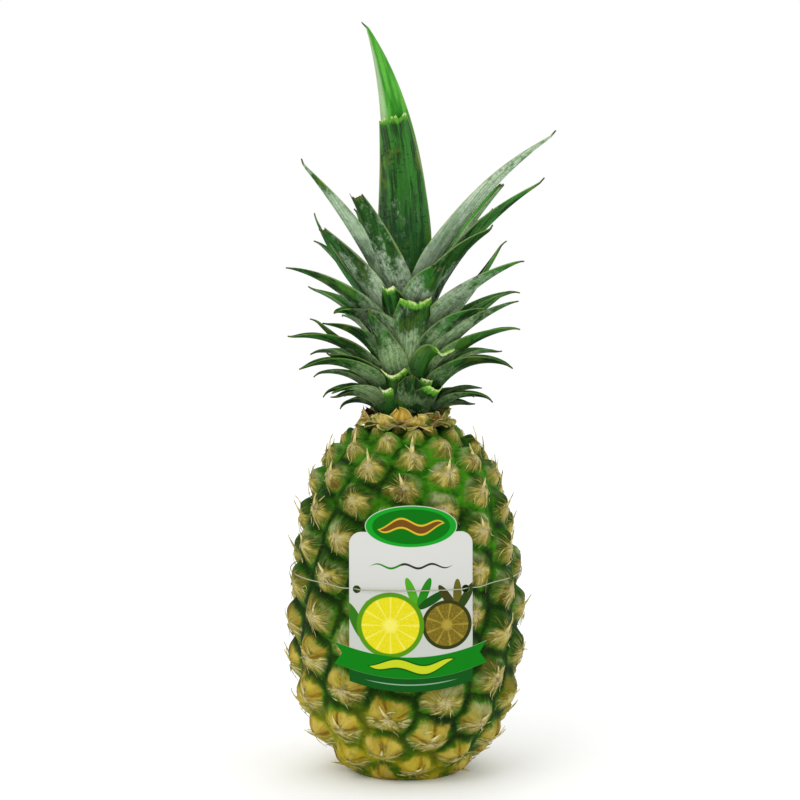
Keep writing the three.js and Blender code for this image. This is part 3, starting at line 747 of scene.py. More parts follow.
def spines():
    chance = random.Random(8)
    parts = []
    for eye in EYES:
        root, outward, upward, turn = eye_frame(eye)
        if not spine_stands(turn, root[2]):
            continue
        upright = unit(upward + UP * chance.uniform(0.5, 1.2))
        upright = unit(upright - outward * (upright @ outward) * 0.8)
        length = chance.uniform(6.5, 9.5) * (0.8 if chance.random() < 0.2 else 1)
        lean, aim = chance.uniform(28, 50), chance.uniform(-26, 26)
        path = spine_path(root - outward * 0.8, outward, upright, lean, chance.uniform(5, 55), aim, length)
        parts.append(spine_part(path, length, chance.uniform(2.0, 3.0), chance.random(), 0.0))
        for _ in range(chance.choice((0, 1, 1, 2))):
            spot, out, up, _ = eye_frame(eye, chance.uniform(-0.4, 0.4), chance.uniform(-0.2, 0.35))
            path = spine_path(spot - out * 0.6, out, up, chance.uniform(5, 40), chance.uniform(-60, 60),
                              chance.uniform(-100, 100), chance.uniform(4, 10))
            kind, width = chance.choice((0.0, 1.0)), chance.uniform(0.5, 0.9)
            parts.append(spine_part(path, 5, width, chance.random(), kind, rows=6, sides=2))
    return joined_above_floor(parts)


def fibre_part(eye, angle, start, end, lift, chance):
    """A dry fibre over an eye, from start to end at an angle from straight down, that lifts off it."""
    share = np.linspace(0, 1, 9)
    far = lerp(start, end, share)
    angle = angle + chance.uniform(-0.5, 0.5) * share
    x, y = far * np.sin(angle), -far * np.cos(angle) - STAR_DROP
    turn, along, outward = eye_spot(eye, x, y)
    ledge = LEDGE * (y < 0.1) * np.maximum(1 - far / 0.8, 0)
    raised = smoothstep(along, RELIEF_START, RELIEF_FULL) * (ledge - valley(far)) + 0.1 + lift * share**2
    place = skin_point(turn, along, raised)
    across = unit(np.cross(outward, np.gradient(place, axis=0)))
    length = float(np.linalg.norm(place[-1] - place[0]))
    width = chance.uniform(0.35, 1.0)
    rows = np.linspace(0, 1, 5)
    half = np.maximum(width * (1 - rows) ** 0.7, 0.16) / 2
    thick = np.full(len(rows), 0.25)
    points, faces, side, down, lower = blade((place, across, outward), rows, half, 0.1, thick, 0.12, 2)
    seed, kind = chance.random(), chance.choice((0.0, 0.0, 1.0))
    return points, faces, dry_values(side, down, seed, lower, kind, length)


def fibres():
    chance = random.Random(15)
    parts = []
    for eye in EYES:
        height = eye_frame(eye)[0][2]
        if not FIBRE_FOOT < height < FIBRE_TOP:
            continue
        lift = FIBRE_LIFT if spine_stands(eye_turn(eye), height) else PRESSED_LIFT
        for _ in range(FIBRES_PER_EYE):
            start = chance.uniform(0.1, 0.6)
            end = start + chance.uniform(0.2, 0.5)
            angle = chance.gauss(0, 1.1)
            parts.append(fibre_part(eye, angle, start, end, lift * chance.uniform(0.1, 1) ** 2, chance))
    return joined_above_floor(parts)


# %% [markdown]
# ## Dry finish
# One finish serves the spines, the loose fibres and the cut stalk: straw with fine lines along it, bleached
# toward the tip and stained brown in spots. The kind of a piece turns it from straw toward dull green.

# %% Dry finish
def read_blade(recipe, fineness, run):
    """What a dry finish reads from a blade, and fine lines that run along it."""
    across, along, seed = recipe.value("blade")
    _, kind, length = recipe.value("blade_look")
    place = {"Across": across, "Along": along * length, "Seed": seed * 50.0}
    return across, along, kind, recipe.group(FIBRES, **place, Fineness=fineness, Length=run)


def dry_surface(recipe):
    _, along, kind, lines = read_blade(recipe, 4.0, 0.15)
    cloud = recipe.noise(recipe.place(), 300.0, detail=4.0)
    straw = lines["Mask"].mix("96883E", "C8B868")
    bleached = lines["Mask"].mix("C8BA70", "E8E0A8")
    base = along.eased(0.0, 0.5).mix(straw, bleached)
    base = cloud.eased(0.54, 0.66, 0.0, 0.6).mix(base, "5E4014")
    base = (kind * 0.75).mix(base, "76824A")
    return base, 0.7, lines["Height"], 0.0004


DRY = finish("dry bract", dry_surface, Specular_IOR_Level=0.05)
piece_from("eye_spines", *spines(), DRY, "fruit_skin")
piece_from("eye_fibres", *fibres(), DRY, "fruit_skin")

# %% [markdown]
# ## The cut stalk
# Under the fruit the stalk was cut off level. Its end is a rough disc of dry fibres in a shallow well. Nobody
# looks there for long, so it is a low disc turned from rings, with a noisy face.

# %% Cut stalk
STALK_RADIUS = 11.5
STALK_FACE, STALK_EDGE = 0.7, [1.0, 2.4, 3.2]  # heights


def stalk_part(sides=48, rings=9):
    radii = [*np.linspace(1.2, STALK_RADIUS, rings), STALK_RADIUS, STALK_RADIUS - 2]
    heights = [*[STALK_FACE] * (rings - 1), *STALK_EDGE]
    points, faces = loft(rings_round(zip(radii, heights), -full_turn(sides)))
    points[:, 2] += 0.35 * bumps(points, 1.6) * (points[:, 2] < 2)
    share = np.hypot(points[:, 0], points[:, 1]) / STALK_RADIUS
    return points, faces, dry_values(share * 3, 0.3 + 0 * share, 0.4, 0, 0.6, 10)


piece_from("cut_stalk", *stalk_part(), DRY, "dry_bracts")

# %% [markdown]
# ## The crown
# About sixty stiff leaves stand on one short stem, the youngest upright in the middle and the oldest curling
# down at the foot. Each has its own root height, length and lean, because no rule gives the look of one
# real crown. What repeats is the form: a channelled blade that tapers to a dry, curled thread, or ends in a
# ragged cut where it was trimmed. Rise is the height of the root, lean and droop are the angles from upright
# at the root and the tip, swing bends a leaf sideways, kept is what a cut left of it, and curl rolls its end.
# A healed cut is an old one that dried like a tip. Tone is how young and bright a leaf is, or how dark its
# worn end is where tone is below 0, and bloom is how much of its pale bloom is left.

# %% Leaf list
def leaf(turn, rise, length, width, lean, droop, **rest):
    return dict(turn=turn, rise=rise, length=length, width=width, lean=lean, droop=droop, **rest)


LEAVES = [  # turn, rise, length, width, lean and droop
    leaf(-2, 237.5, 138, 26, 4, -4, swing=26, root=1, tone=1.0, bloom=0.0),
    leaf(8, 228, 140, 30, 0, 6, swing=26, kept=0.71, tone=0.4, bloom=0.15),
    leaf(-58, 227, 97, 18, 27, 44, tone=0.5, bloom=1.1),
    leaf(-40, 222, 94, 23, 16, 44, kept=0.8, tone=-1.0, bloom=0.6, healed=1),
    leaf(-88, 222, 70, 13, 50, 20),
    leaf(-58, 216, 82, 22, 28, 49, kept=0.86, tone=-0.6, bloom=0.8, healed=1),
    leaf(-62, 205, 78, 22, 20, 78, tone=0.4, bloom=0.5),
    leaf(-50, 204, 51, 26, 12, 94, bloom=0.6),
    leaf(-76, 198, 48, 14, 58, 42),
    leaf(-50, 197, 53, 18, 24, 84),
    leaf(-66, 190, 63, 18, 22, 98),
    leaf(-56, 189, 43, 16, 30, 86),
    leaf(-58, 186, 56, 18, 26, 112),
    leaf(-92, 184, 39, 12, 24, 108),
    leaf(-54, 182, 36, 13, 30, 116),
    leaf(-84, 183, 32, 11, 34, 123),
    leaf(-66, 182, 29, 11, 36, 119),
    leaf(-100, 181, 22, 10, 48, 128),
    leaf(62, 231, 119, 20, 25, 58, tone=0.2, bloom=1.15),
    leaf(108, 226, 92, 18, 27, 45, kept=0.88, tone=0.6, bloom=0.6, healed=1),
    leaf(66, 219, 104, 20, 22, 60, tone=0.3, bloom=0.3),
    leaf(50, 214, 79, 24, 14, 64, tone=-1.0, bloom=0.5),
    leaf(92, 212, 68, 14, 48, 26),
    leaf(56, 211, 78, 20, 34, 70),
    leaf(102, 202, 57, 12, 42, 54),
    leaf(48, 200, 56, 20, 24, 76),
    leaf(60, 198, 66, 18, 34, 70),
    leaf(62, 192, 62, 18, 30, 84),
    leaf(62, 186, 54, 20, 24, 110),
    leaf(94, 182, 27, 11, 38, 98),
    leaf(78, 181, 33, 11, 44, 114),
    leaf(90, 181, 21, 11, 60, 108),
    leaf(25, 212, 64, 25, 12, 71, kept=0.85, tone=-0.4, healed=1),
    leaf(-20, 206, 50, 22, 8, 50, kept=0.85),
    leaf(12, 196, 73, 26, 12, 40, kept=0.6, tone=0.1, bloom=0.9),
    leaf(-34, 190, 49, 22, 14, 40, tone=0.1, bloom=0.75),
    leaf(42, 190, 43, 23, 2, 79, kept=0.7, curl=70, tone=0.5, bloom=0.2),
    leaf(-18, 184, 32, 21, 8, 60, kept=0.62, curl=30, tone=0.1, bloom=0.3),
    leaf(40, 183, 25, 14, 8, 40, kept=0.62, tone=0.2, bloom=0.2),
    leaf(-34, 182, 18, 14, 12, 60, kept=0.7, tone=0.8, bloom=0.0),
    leaf(38, 181, 22, 22, 26, 70, kept=0.78, tone=0.4, bloom=0.5),
    leaf(6, 181, 24, 20, 18, 44, tone=0.3, bloom=0.6),
]
BACK_TIERS = [  # the turns of a tier, and what its leaves share
    ([180], (222, 94, 22, 22, 46)),
    ([-154, 132], (216, 82, 21, 26, 54)),
    ([-128, 158], (210, 74, 19, 28, 58)),
    ([-174, -128, 114], (202, 66, 18, 30, 80)),
    ([-146, 144], (195, 60, 17, 28, 90)),
    ([-120, 172, 120], (188, 50, 16, 28, 104)),
    ([-150, 148], (184, 38, 14, 32, 114)),
    ([-126, 180, 116], (182, 26, 13, 42, 120)),
]
LEAVES += [leaf(turn, *tier) for turns, tier in BACK_TIERS for turn in turns]
print("leaves:", len(LEAVES))

# %% Leaf path and leaf
STEM_FOOT, STEM_FOOT_RADIUS, STEM_SHOULDER, STEM_SHOULDER_RADIUS = 174.3, 13.5, 184, 17
STEM_TOP, STEM_TOP_RADIUS = 248, 3
LEAF_CHANNEL, BRACT_CHANNEL = 0.3, 0.12
LEAF_ROOT_DEPTH = 3
LEAF_ROOT_WIDTH = 0.65  # how wide a leaf is at its root, as a share of its width further up
LEAF_TAPER = 1.8  # a higher power keeps a leaf wide for longer before its point
EDGE_WAVE, RAGGED = 0.05, 0.035  # shares of a leaf's width and length
THREAD, THREAD_CURL = 5, 40  # the last of each leaf dries to a point this long, bent up to these degrees
CURLED_SHARE = 0.22  # how much of a leaf rolls where it has a curl
FAR = 99.0  # stands for the distance to an end that a leaf doesn't have


def stem_radius(height):
    share = np.clip((height - STEM_SHOULDER) / (STEM_TOP - STEM_SHOULDER), 0, 1)
    return lerp(STEM_SHOULDER_RADIUS, STEM_TOP_RADIUS, share)


def leaf_path(spec, chance, steps=120):
    """(place, across, under) from the root of a leaf to its tip or its cut."""
    kept = spec.get("kept", 1)
    share = np.linspace(0, kept, steps + 1)
    turn = math.radians(spec["turn"])
    outward = around(turn, 1, 0)
    thread = np.maximum((share - 1) * spec["length"] / THREAD + 1, 0)
    angle = lerp(spec["lean"], spec["droop"], share) + chance.uniform(-THREAD_CURL, THREAD_CURL) * thread
    angle = np.radians(angle + spec.get("curl", 0) * smoothstep(share, kept - CURLED_SHARE, kept))[:, None]
    under = outward * np.cos(angle) - UP * np.sin(angle)
    along = outward * np.sin(angle) + UP * np.cos(angle)
    bend = spec.get("swing", 0) * share**2 + chance.uniform(-THREAD_CURL, THREAD_CURL) * thread
    along = turned(along, under, np.radians(bend))
    root = around(turn, spec.get("root", stem_radius(spec["rise"]) - LEAF_ROOT_DEPTH), spec["rise"])
    middle = (along[1:] + along[:-1]) / 2 * (kept * spec["length"] / steps)
    place = np.vstack([root, root + np.cumsum(middle, axis=0)])
    return place, np.cross(under, along), under


def leaf_part(spec, chance, rows=30, sides=12):
    kept, length, width = spec.get("kept", 1), spec["length"], spec["width"]
    is_cut = kept < 1
    row = np.linspace(0, 1, rows + 1) ** 0.9
    share = row * kept
    widened = lerp(LEAF_ROOT_WIDTH, 1, smoothstep(share, 0, 0.3))
    half = np.maximum(width * widened * (1 - share**LEAF_TAPER), 0.5) / 2
    side = np.linspace(-1, 1, sides + 1)
    ragged = np.array([chance.uniform(0, RAGGED) for _ in side]) * (1 - 0.5 * side**2) if is_cut else 0 * side
    column = row[:, None] - ragged[None, :] * (row**8)[:, None]
    seed = chance.random()
    wave = np.sin(9 * share[:, None] + 20 * seed + 2 * side[None, :]) * side[None, :] ** 2
    wave = EDGE_WAVE * half[:, None] * wave
    thick = np.minimum(0.5 + 0.1 * half, 1.5)
    path = leaf_path(spec, chance)
    points, faces, across, along, lower = blade(path, column, half, LEAF_CHANNEL, thick, 0.3, sides, wave)
    down = along * kept * length
    half_here = np.interp(along, row, half)
    to_end = kept * length - down
    is_fresh = is_cut and "healed" not in spec
    to_cut, to_tip = (to_end, FAR) if is_fresh else (FAR, to_end)
    tone = spec.get("tone", chance.uniform(0, 0.35))
    bloom = spec.get("bloom", chance.uniform(0.25, 0.85))
    return points, faces, {
        "leaf_place": table(across, lower, to_cut),
        "leaf_run": table(across * half_here, down, to_tip),
        "leaf_kind": table(0 * down + tone, bloom, seed),
    }


def stem_part(sides=28):
    outline = [
        (0.5, STEM_FOOT), (STEM_FOOT_RADIUS, STEM_FOOT), (STEM_FOOT_RADIUS, STEM_SHOULDER - 3),
        (STEM_SHOULDER_RADIUS, STEM_SHOULDER), (STEM_TOP_RADIUS, STEM_TOP), (0.5, STEM_TOP),
    ]
    points, faces = loft(rings_round(outline, full_turn(sides)))
    return points, faces, {
        "leaf_place": table(0 * points[:, 0], 1, FAR),
        "leaf_run": table(points[:, 0], points[:, 2], FAR),
        "leaf_kind": table(0 * points[:, 0], 0, 0.5),
    }


# %% [markdown]
# ## The colour of a leaf
# The lower side wears a pale bloom with fine lines in it, thickest near the root. It thins toward the tip,
# where dark green shows, and it is speckled all over. The upper side is a deeper green. The margins are pale
# and very thin, tips dry to olive, and a fresh cut shows bright yellow-green. Young leaves in the middle are
# brighter, with a pale margin on one side. On a real leaf all the changes are soft, so the masks are wide and
# broken up by fine noise, which a gradient alone would lack.

# %% Leaf finish
def leaf_surface(recipe):
    across, lower, to_cut = recipe.value("leaf_place")
    side, down, to_tip = recipe.value("leaf_run")
    tone, bloom, seed = recipe.value("leaf_kind")
    shift = seed * 60.0
    lines = recipe.group(FIBRES, Across=side, Along=down, Seed=shift, Fineness=1.9, Length=0.03)
    broad = recipe.group(FIBRES, Across=side, Along=down, Seed=shift, Fineness=0.3, Length=0.03)
    spot = recipe.vector(side * 0.13, down * 0.06, shift)
    blotch = recipe.noise(spot, 1.0, detail=4.0, rough=0.6)
    fleck = recipe.noise(spot, 6.0, detail=5.0, rough=0.72)
    dash = recipe.noise(recipe.vector(side, down * 1.6, shift), 0.55, detail=3.0)
    to_end = recipe.math("MINIMUM", to_cut, to_tip)
    share = down / (down + to_end + 0.01)

    # The lower side, where the pale bloom has worn off to deep green.
    deep = broad["Mask"].eased(0.2, 0.9).mix("0A2806", "2C7020")
    deep = lines["Mask"].eased(0.3, 1.0, 0.0, 0.3).mix(deep, "4F8A44")
    deep = share.eased(0.7, 0.1, 0.0, 0.6).mix(deep, "437A4A")
    # Painted shade: a darker stripe down the middle of the lower side, along the leaf's channel.
    channel_shade = across + (blotch - 0.5) * 1.5
    deep = abs(channel_shade).eased(0.4, 0.05, 0.0, 0.4).mix(deep, "12380C")
    pale = lines["Mask"].mix("8EAA88", "C6D4BE")
    pale = fleck.eased(0.44, 0.62, 0.0, 0.45).mix(pale, "5C8A54")
    worn = blotch + (fleck - 0.5) * 0.4 + share.eased(0.3, 1.0) * 0.32 - bloom * 0.42 + lines["Height"] * 0.2
    under = worn.eased(0.3, 0.54).mix(pale, deep)

    # The upper side, and the young leaves in the middle.
    gloss = broad["Mask"].mix("1A5212", "3F8A2A")
    gloss = lines["Mask"].eased(0.5, 1.0, 0.0, 0.3).mix(gloss, "7AA266")
    base = lower.mix(gloss, under)
    young = broad["Mask"].mix("2A8218", "5DB03C")
    margin = (across - blotch * 0.3).eased(0.2, 0.55)
    young = (margin * 0.7).mix(young, "B4CBA0")
    base = tone.eased(0.3, 1.0, 0.0, 0.92).mix(base, young)

    # What age does to both sides: dashes, blotches, a worn end, flecks and pale margins.
    dashes = dash.eased(0.59, 0.68, 0.0, 0.7) * bloom.eased(1.1, 0.6, 0.15) * tone.eased(0.9, 0.5, 0.25)
    base = dashes.mix(base, "16260C")
    base = blotch.eased(0.56, 0.68, 0.0, 0.35).mix(base, "6E8A24")
    worn_end = tone.eased(0.0, -1.0, 0.0, 0.85) * worn.eased(0.35, 0.6)
    base = worn_end.mix(base, lines["Mask"].mix("0C2C05", "1E4A0C"))
    base = fleck.eased(0.36, 0.28, 0.0, 0.4).mix(base, "7E9A52")
    edge = abs(across) + blotch * 0.12
    base = edge.eased(0.97, 1.06, 0.0, 0.45).mix(base, "A9BA7C")

    # Little light falls low in the crown, where the leaves are close.
    height = recipe.split(recipe.place())[2]
    base = height.eased(0.265, 0.205).mix(base, "BECCA6", how="MULTIPLY")
    hidden = down.eased(22.0, 4.0) * height.eased(0.26, 0.215)
    base = (hidden * 0.55).mix(base, "10260A")
    gloomy = height.eased(0.29, 0.25) * blotch.eased(0.48, 0.35, 0.0, 0.65)
    base = gloomy.mix(base, "0A2206")

    # The dry tip, or the fresh cut.
    dry = (to_tip + blotch * 6.0).eased(7.0, 4.0)
    base = dry.mix(base, lines["Mask"].mix("20300C", "5C6A34"))
    ragged = to_cut + (fleck - 0.5) * 8.0
    base = ragged.eased(5.0, 2.0, 0.0, 0.85).mix(base, "5FA62C")
    base = ragged.eased(1.8, 0.8).mix(base, broad["Mask"].mix("A5C860", "DADFA6"))
    relief = lines["Height"] * 0.6 + fleck * 0.4
    return base, 0.4 + lower * 0.15, relief, 0.0005


LEAF = finish("stiff green leaf", leaf_surface, Specular_IOR_Level=0.12)
chance = random.Random(11)
crown_parts = [stem_part(), *[leaf_part(spec, chance) for spec in LEAVES]]
crown = piece_from("crown_leaves", *joined(crown_parts), LEAF, "crown_leaves")
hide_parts("crown")

# %% [markdown]
# ## The collar
# Dry bracts ring the foot of the crown. They are papery, with split and curled edges. Some stand up and some
# lie out over the shoulder, and each dries to its own shade of straw, orange or brown. They grow from a low
# fibrous ring, which fills the seam between fruit and crown. The large ones stand where the plain collar has
# them, and short ones are scattered between them from a seeded draw, which is quicker than placing each.

# %% Collar bracts
COLLAR_INNER, COLLAR_OUTER, COLLAR_TOP_RADIUS, COLLAR_FOOT, COLLAR_TOP = 13.8, 21, 19, 174.3, 178
SHORT_BRACTS = 36
BRACTS = [  # turn, length, width, lean, droop and tone
    (-8, 11, 13, 0, 22, 0.45), (16, 8, 13, 22, 66, 0.1), (36, 9, 16, 6, 40, 0.8),
    (58, 9, 14, 58, 112, 0.0), (82, 7, 16, 6, 44, 0.6), (110, 8, 15, 16, 54, 0.2),
    (140, 8, 16, 6, 44, 0.7), (168, 8, 14, 50, 98, 0.1), (-164, 9, 16, 4, 38, 0.5),
    (-136, 8, 15, 18, 56, 0.3), (-110, 8, 15, 4, 42, 0.9), (-84, 7, 15, 8, 46, 0.2),
    (-60, 8, 13, 56, 106, 0.05), (-34, 8, 15, 14, 52, 0.3),
]


def bract_part(chance, turn, length, width, lean, droop, tone, root=COLLAR_OUTER - 1.4, rows=16, sides=16):
    share = np.linspace(0, 1, rows + 1)
    side = np.linspace(-1, 1, sides + 1)
    frayed = np.array([chance.uniform(0, 0.35) for _ in side])
    column = share[:, None] - (frayed * (1 - side**2))[None, :] * (share**5)[:, None]
    half = width / 2 * np.maximum((1 - share**2.6), 0.12) * (0.9 + 0.1 * smoothstep(share, 0, 0.3))
    wave = 0.6 * np.sin(3.2 * side + 9 * chance.random()) + 0.45 * np.sin(chance.uniform(5, 10) * side)
    wave = wave[None, :] * share[:, None] ** 1.2
    path = leaf_path(leaf(turn, COLLAR_FOOT + 0.4, length, width, lean, droop, root=root), chance, steps=40)
    thick = np.full(rows + 1, 0.35)
    points, faces, across, along, lower = blade(path, column, half, BRACT_CHANNEL, thick, 0.2, sides, wave)
    return points, faces, dry_values(across, along, chance.random(), lower, tone, length)


def ring_part(sides=140):
    outline = [
        (COLLAR_INNER, COLLAR_FOOT), (COLLAR_OUTER, COLLAR_FOOT), (COLLAR_OUTER, COLLAR_FOOT + 1.2),
        (COLLAR_OUTER - 0.8, COLLAR_TOP - 1), (COLLAR_TOP_RADIUS, COLLAR_TOP), (COLLAR_INNER, COLLAR_TOP),
        (COLLAR_INNER, COLLAR_FOOT),
    ]
    turns = full_turn(sides)
    points, faces = loft(rings_round(outline, turns))
    faces = faces[:(len(outline) - 1) * sides]  # the ring closes on itself, so it has no ends to cover
    outer = np.hypot(points[:, 0], points[:, 1]) > COLLAR_INNER + 1
    points[:, :2] *= (1 - 0.02 * outer - 0.06 * outer * np.abs(bumps(points * [1, 1, 0.2], 1.8)))[:, None]
    across = np.tile(turns, len(outline)) * 5
    return points, faces, dry_values(across, (points[:, 2] - COLLAR_FOOT) / 8, 0.2, 0, 1, 8)


# %% Collar finish
def papery_surface(recipe):
    across, along, tone, lines = read_blade(recipe, 3.0, 0.2)
    cloud = recipe.noise(recipe.place(), 170.0, detail=5.0, rough=0.6)
    green = recipe.noise(recipe.place(), 90.0, detail=3.0)
    straw = lines["Mask"].mix("A09034", "DCCB76")
    brown = lines["Mask"].mix("4A3210", "7A5A24")
    orange = lines["Mask"].mix("9C7A20", "C6A23C")
    straw = cloud.eased(0.42, 0.6, 0.0, 0.45).mix(straw, "B08A30")
    base = tone.eased(0.3, 0.5).mix(straw, orange)
    base = tone.eased(0.6, 0.85).mix(base, brown)
    base = cloud.eased(0.56, 0.66, 0.0, 0.6).mix(base, "4A2E0C")
    base = green.eased(0.5, 0.6, 0.0, 0.9).mix(base, "3A6A10")
    rim = abs(across).eased(0.82, 1.0)
    base = (rim * 0.35).mix(base, "E8DC9C")
    base = along.eased(0.3, 0.0, 0.0, 0.6).mix(base, "4A3A10")
    return base, 0.6, lines["Height"] * 0.5 + cloud, 0.0004


PAPERY = finish("papery bract", papery_surface, Specular_IOR_Level=0.2)
chance = random.Random(21)
parts = [ring_part(), *[bract_part(chance, *bract) for bract in BRACTS]]
for count in range(SHORT_BRACTS):
    lying = count % 3 == 0
    lean = chance.uniform(68, 92) if lying else chance.uniform(0, 45)
    turn = count * 360 / SHORT_BRACTS + chance.uniform(-5, 5)
    parts.append(bract_part(
        chance, turn, chance.uniform(3.5, 6.5), chance.uniform(5, 11), lean, lean + chance.uniform(15, 45),
        chance.random() * (0.3 if lying else 1), COLLAR_OUTER - (1.2 if lying else 2.4), rows=12, sides=12,
    ))
collar = piece_from("collar_bracts", *joined(parts), PAPERY, "dry_bracts")
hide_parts("collar")

# %% [markdown]
# ## The card tag
# The card is die-cut from coated board: square shoulders, an oval head between them, and a ribbon across its
# foot. A flat shape could be cut and then bent by a modifier, but long faces would crease. So it is a net of
# small triangles from the start, with the outline and the two holes as edges of the net, and each point is
# placed by the rule that bends the plain card.

# %% Card outline and its net
TAG_HALF, TAG_SHOULDER, TAG_SHOULDER_ROUND = 29.5, 128.5, 6
HEAD_MIDDLE, HEAD_HALF_WIDTH, HEAD_HALF_HEIGHT = 131.3, 22, 10
RIBBON_FOOT, RIBBON_TOP, RIBBON_NOTCH, RIBBON_SAG, FOOT_SAG = 58, 68.5, 3.5, 6.5, 4.8
HOLE_SIDE, HOLE_RADIUS = 26, 1.9
CARD_BACK_FACE, CARD_FRONT_FACE = 0.1, 0.55
NET_SPACING, NET_GAP = 2.4, 0.9  # from one inner point of the net to the next, and from the outline


def card_back(side, height):
    """How far in front of the fruit's axis the back of the card is."""
    bent = TAG_BEND - np.sqrt(TAG_BEND**2 - side**2)
    return TAG_FRONT - bent - np.maximum(height - TAG_CREASE, 0) * math.tan(TAG_LEAN)


def card_point(side, height, offset):
    tilt = np.arcsin(side / TAG_BEND)
    front = card_back(side, height) + offset * np.cos(tilt)
    return np.stack([side + offset * np.sin(tilt), -front, height], axis=-1)


HOLE_HEIGHT = float(elastic_height(math.atan2(HOLE_SIDE, card_back(HOLE_SIDE, TAG_CREASE))))


def arc(middle, radii, start, end, steps):
    angles = np.linspace(start, end, steps + 1)
    return np.column_stack([middle[0] + radii[0] * np.cos(angles), middle[1] + radii[1] * np.sin(angles)])


def card_outline():
    """The right half of the outline upward from the middle of the foot, then its mirror image."""
    step = math.asin((HEAD_MIDDLE - TAG_SHOULDER) / HEAD_HALF_HEIGHT)
    middle = (RIBBON_FOOT + RIBBON_TOP) / 2 + RIBBON_SAG
    round_at = (TAG_HALF - TAG_SHOULDER_ROUND, TAG_SHOULDER - TAG_SHOULDER_ROUND)
    side = np.linspace(0, TAG_HALF, 16)
    beyond = np.linspace(TAG_HALF, TAG_REACH, 5)
    rise = RIBBON_SAG * (beyond / TAG_REACH) ** 2
    right = np.vstack([
        np.column_stack([side, TAG_FOOT + FOOT_SAG * (side / TAG_HALF) ** 2]),
        np.column_stack([beyond, RIBBON_FOOT + rise]),
        [[TAG_REACH - RIBBON_NOTCH, middle]],
        np.column_stack([beyond, RIBBON_TOP + rise])[::-1],
        arc(round_at, (TAG_SHOULDER_ROUND, TAG_SHOULDER_ROUND), 0, math.pi / 2, 10),
        arc((0, HEAD_MIDDLE), (HEAD_HALF_WIDTH, HEAD_HALF_HEIGHT), -step, math.pi / 2, 28),
    ])
    left = (right * [-1, 1])[-2:0:-1]
    return np.vstack([right, left])


def is_inside(points, outline):
    """Whether each point lies inside the outline, by counting the edges that a line from it crosses."""
    crossings = np.zeros(len(points), int)
    for (x0, y0), (x1, y1) in zip(outline, np.roll(outline, -1, axis=0)):
        spans = (y0 > points[:, 1]) != (y1 > points[:, 1])
        rise = y1 - y0 if y1 != y0 else 1.0
        crossings += spans & (points[:, 0] < x0 + (points[:, 1] - y0) * (x1 - x0) / rise)
    return crossings % 2 == 1


def card_net():
    """Flat points and triangles of the card."""
    outline = card_outline()
    holes = [arc((side, HOLE_HEIGHT), (HOLE_RADIUS, HOLE_RADIUS), 0, 2 * math.pi, 24)[:-1]
             for side in (-HOLE_SIDE, HOLE_SIDE)]
    columns = np.arange(-TAG_REACH, TAG_REACH, NET_SPACING) + 0.7
    rows = np.arange(TAG_FOOT, TAG_TOP, NET_SPACING) + 0.9
    grid = np.stack(np.meshgrid(columns, rows), axis=-1).reshape(-1, 2)
    loops = [outline, *holes]
    clear = is_inside(grid, outline)
    for x, y in np.vstack(loops):
        clear &= np.hypot(grid[:, 0] - x, grid[:, 1] - y) > NET_GAP
    edges = []
    first = 0
    for loop in loops:
        edges += [(first + k, first + (k + 1) % len(loop)) for k in range(len(loop))]
        first += len(loop)
    flat = np.vstack([*loops, grid[clear]])
    made = geometry.delaunay_2d_cdt([Vector(point) for point in flat.tolist()], edges, [], 0, 1e-4)
    points, triangles = np.array([list(point) for point in made[0]]), np.array(made[2])
    middles = points[triangles].mean(axis=1)
    kept = is_inside(middles, outline)
    for side in (-HOLE_SIDE, HOLE_SIDE):
        kept &= np.hypot(middles[:, 0] - side, middles[:, 1] - HOLE_HEIGHT) > HOLE_RADIUS * 0.97
    return points, triangles[kept]


def spun(points):
    """Points turned with the tag round the axis."""
    cosine, sine = math.cos(TAG_TURN), math.sin(TAG_TURN)
    x, y, z = points.T
    return np.column_stack([x * cosine - y * sine, x * sine + y * cosine, z])


def card_part():
    flat, triangles = card_net()
    count = len(flat)
    back, front = (card_point(*flat.T, offset) for offset in (CARD_BACK_FACE, CARD_FRONT_FACE))
    edges = {(int(a), int(b)) for face in triangles for a, b in zip(face, np.roll(face, -1))}
    rims = [(b, a, a + count, b + count) for a, b in edges if (b, a) not in edges]
    faces = [*triangles[:, ::-1].tolist(), *(triangles + count).tolist(), *rims]
    place = table(*np.tile(flat.T, 2), np.repeat([0.0, 1.0], count))
    return spun(np.vstack([back, front])), faces, {"card_place": place}


# %% [markdown]
# ## Printing on the card
# The print is a plain design of its own: a green head with a lighter rim, two slices of fruit among leaves,
# ripples in three sizes, and a sagging green ribbon over a darker strip. Each shape is a mask worked out from
# the place on the card, so its edge stays sharp from near by, and the inks are laid over the white board one
# after another.

# %% Print and card finish
def make_oval():
    """1 inside an oval that may be turned, easing to 0 across its edge."""
    inputs = dict.fromkeys(("X", "Z", "Middle X", "Middle Z", "Half X", "Half Z", "Turn"), 0.0)
    recipe, given, out = new_group("oval", inputs, ["Mask", "Reach"])
    across = given["X"] - given["Middle X"]
    up = given["Z"] - given["Middle Z"]
    cosine, sine = recipe.math("COSINE", given["Turn"]), recipe.math("SINE", given["Turn"])
    first = (across * cosine + up * sine) / given["Half X"]
    second = (up * cosine - across * sine) / given["Half Z"]
    reach = recipe.math("SQRT", first ** 2.0 + second ** 2.0)
    recipe.put(out["Mask"], reach.eased(1.01, 0.99))
    recipe.put(out["Reach"], reach)
    return recipe.tree


OVAL = make_oval()


def oval_ink(recipe, x, z, middle, half, turn=0.0):
    place = {"Middle X": middle[0], "Middle Z": middle[1], "Half X": half[0], "Half Z": half[1], "Turn": turn}
    return recipe.group(OVAL, X=x, Z=z, **place)


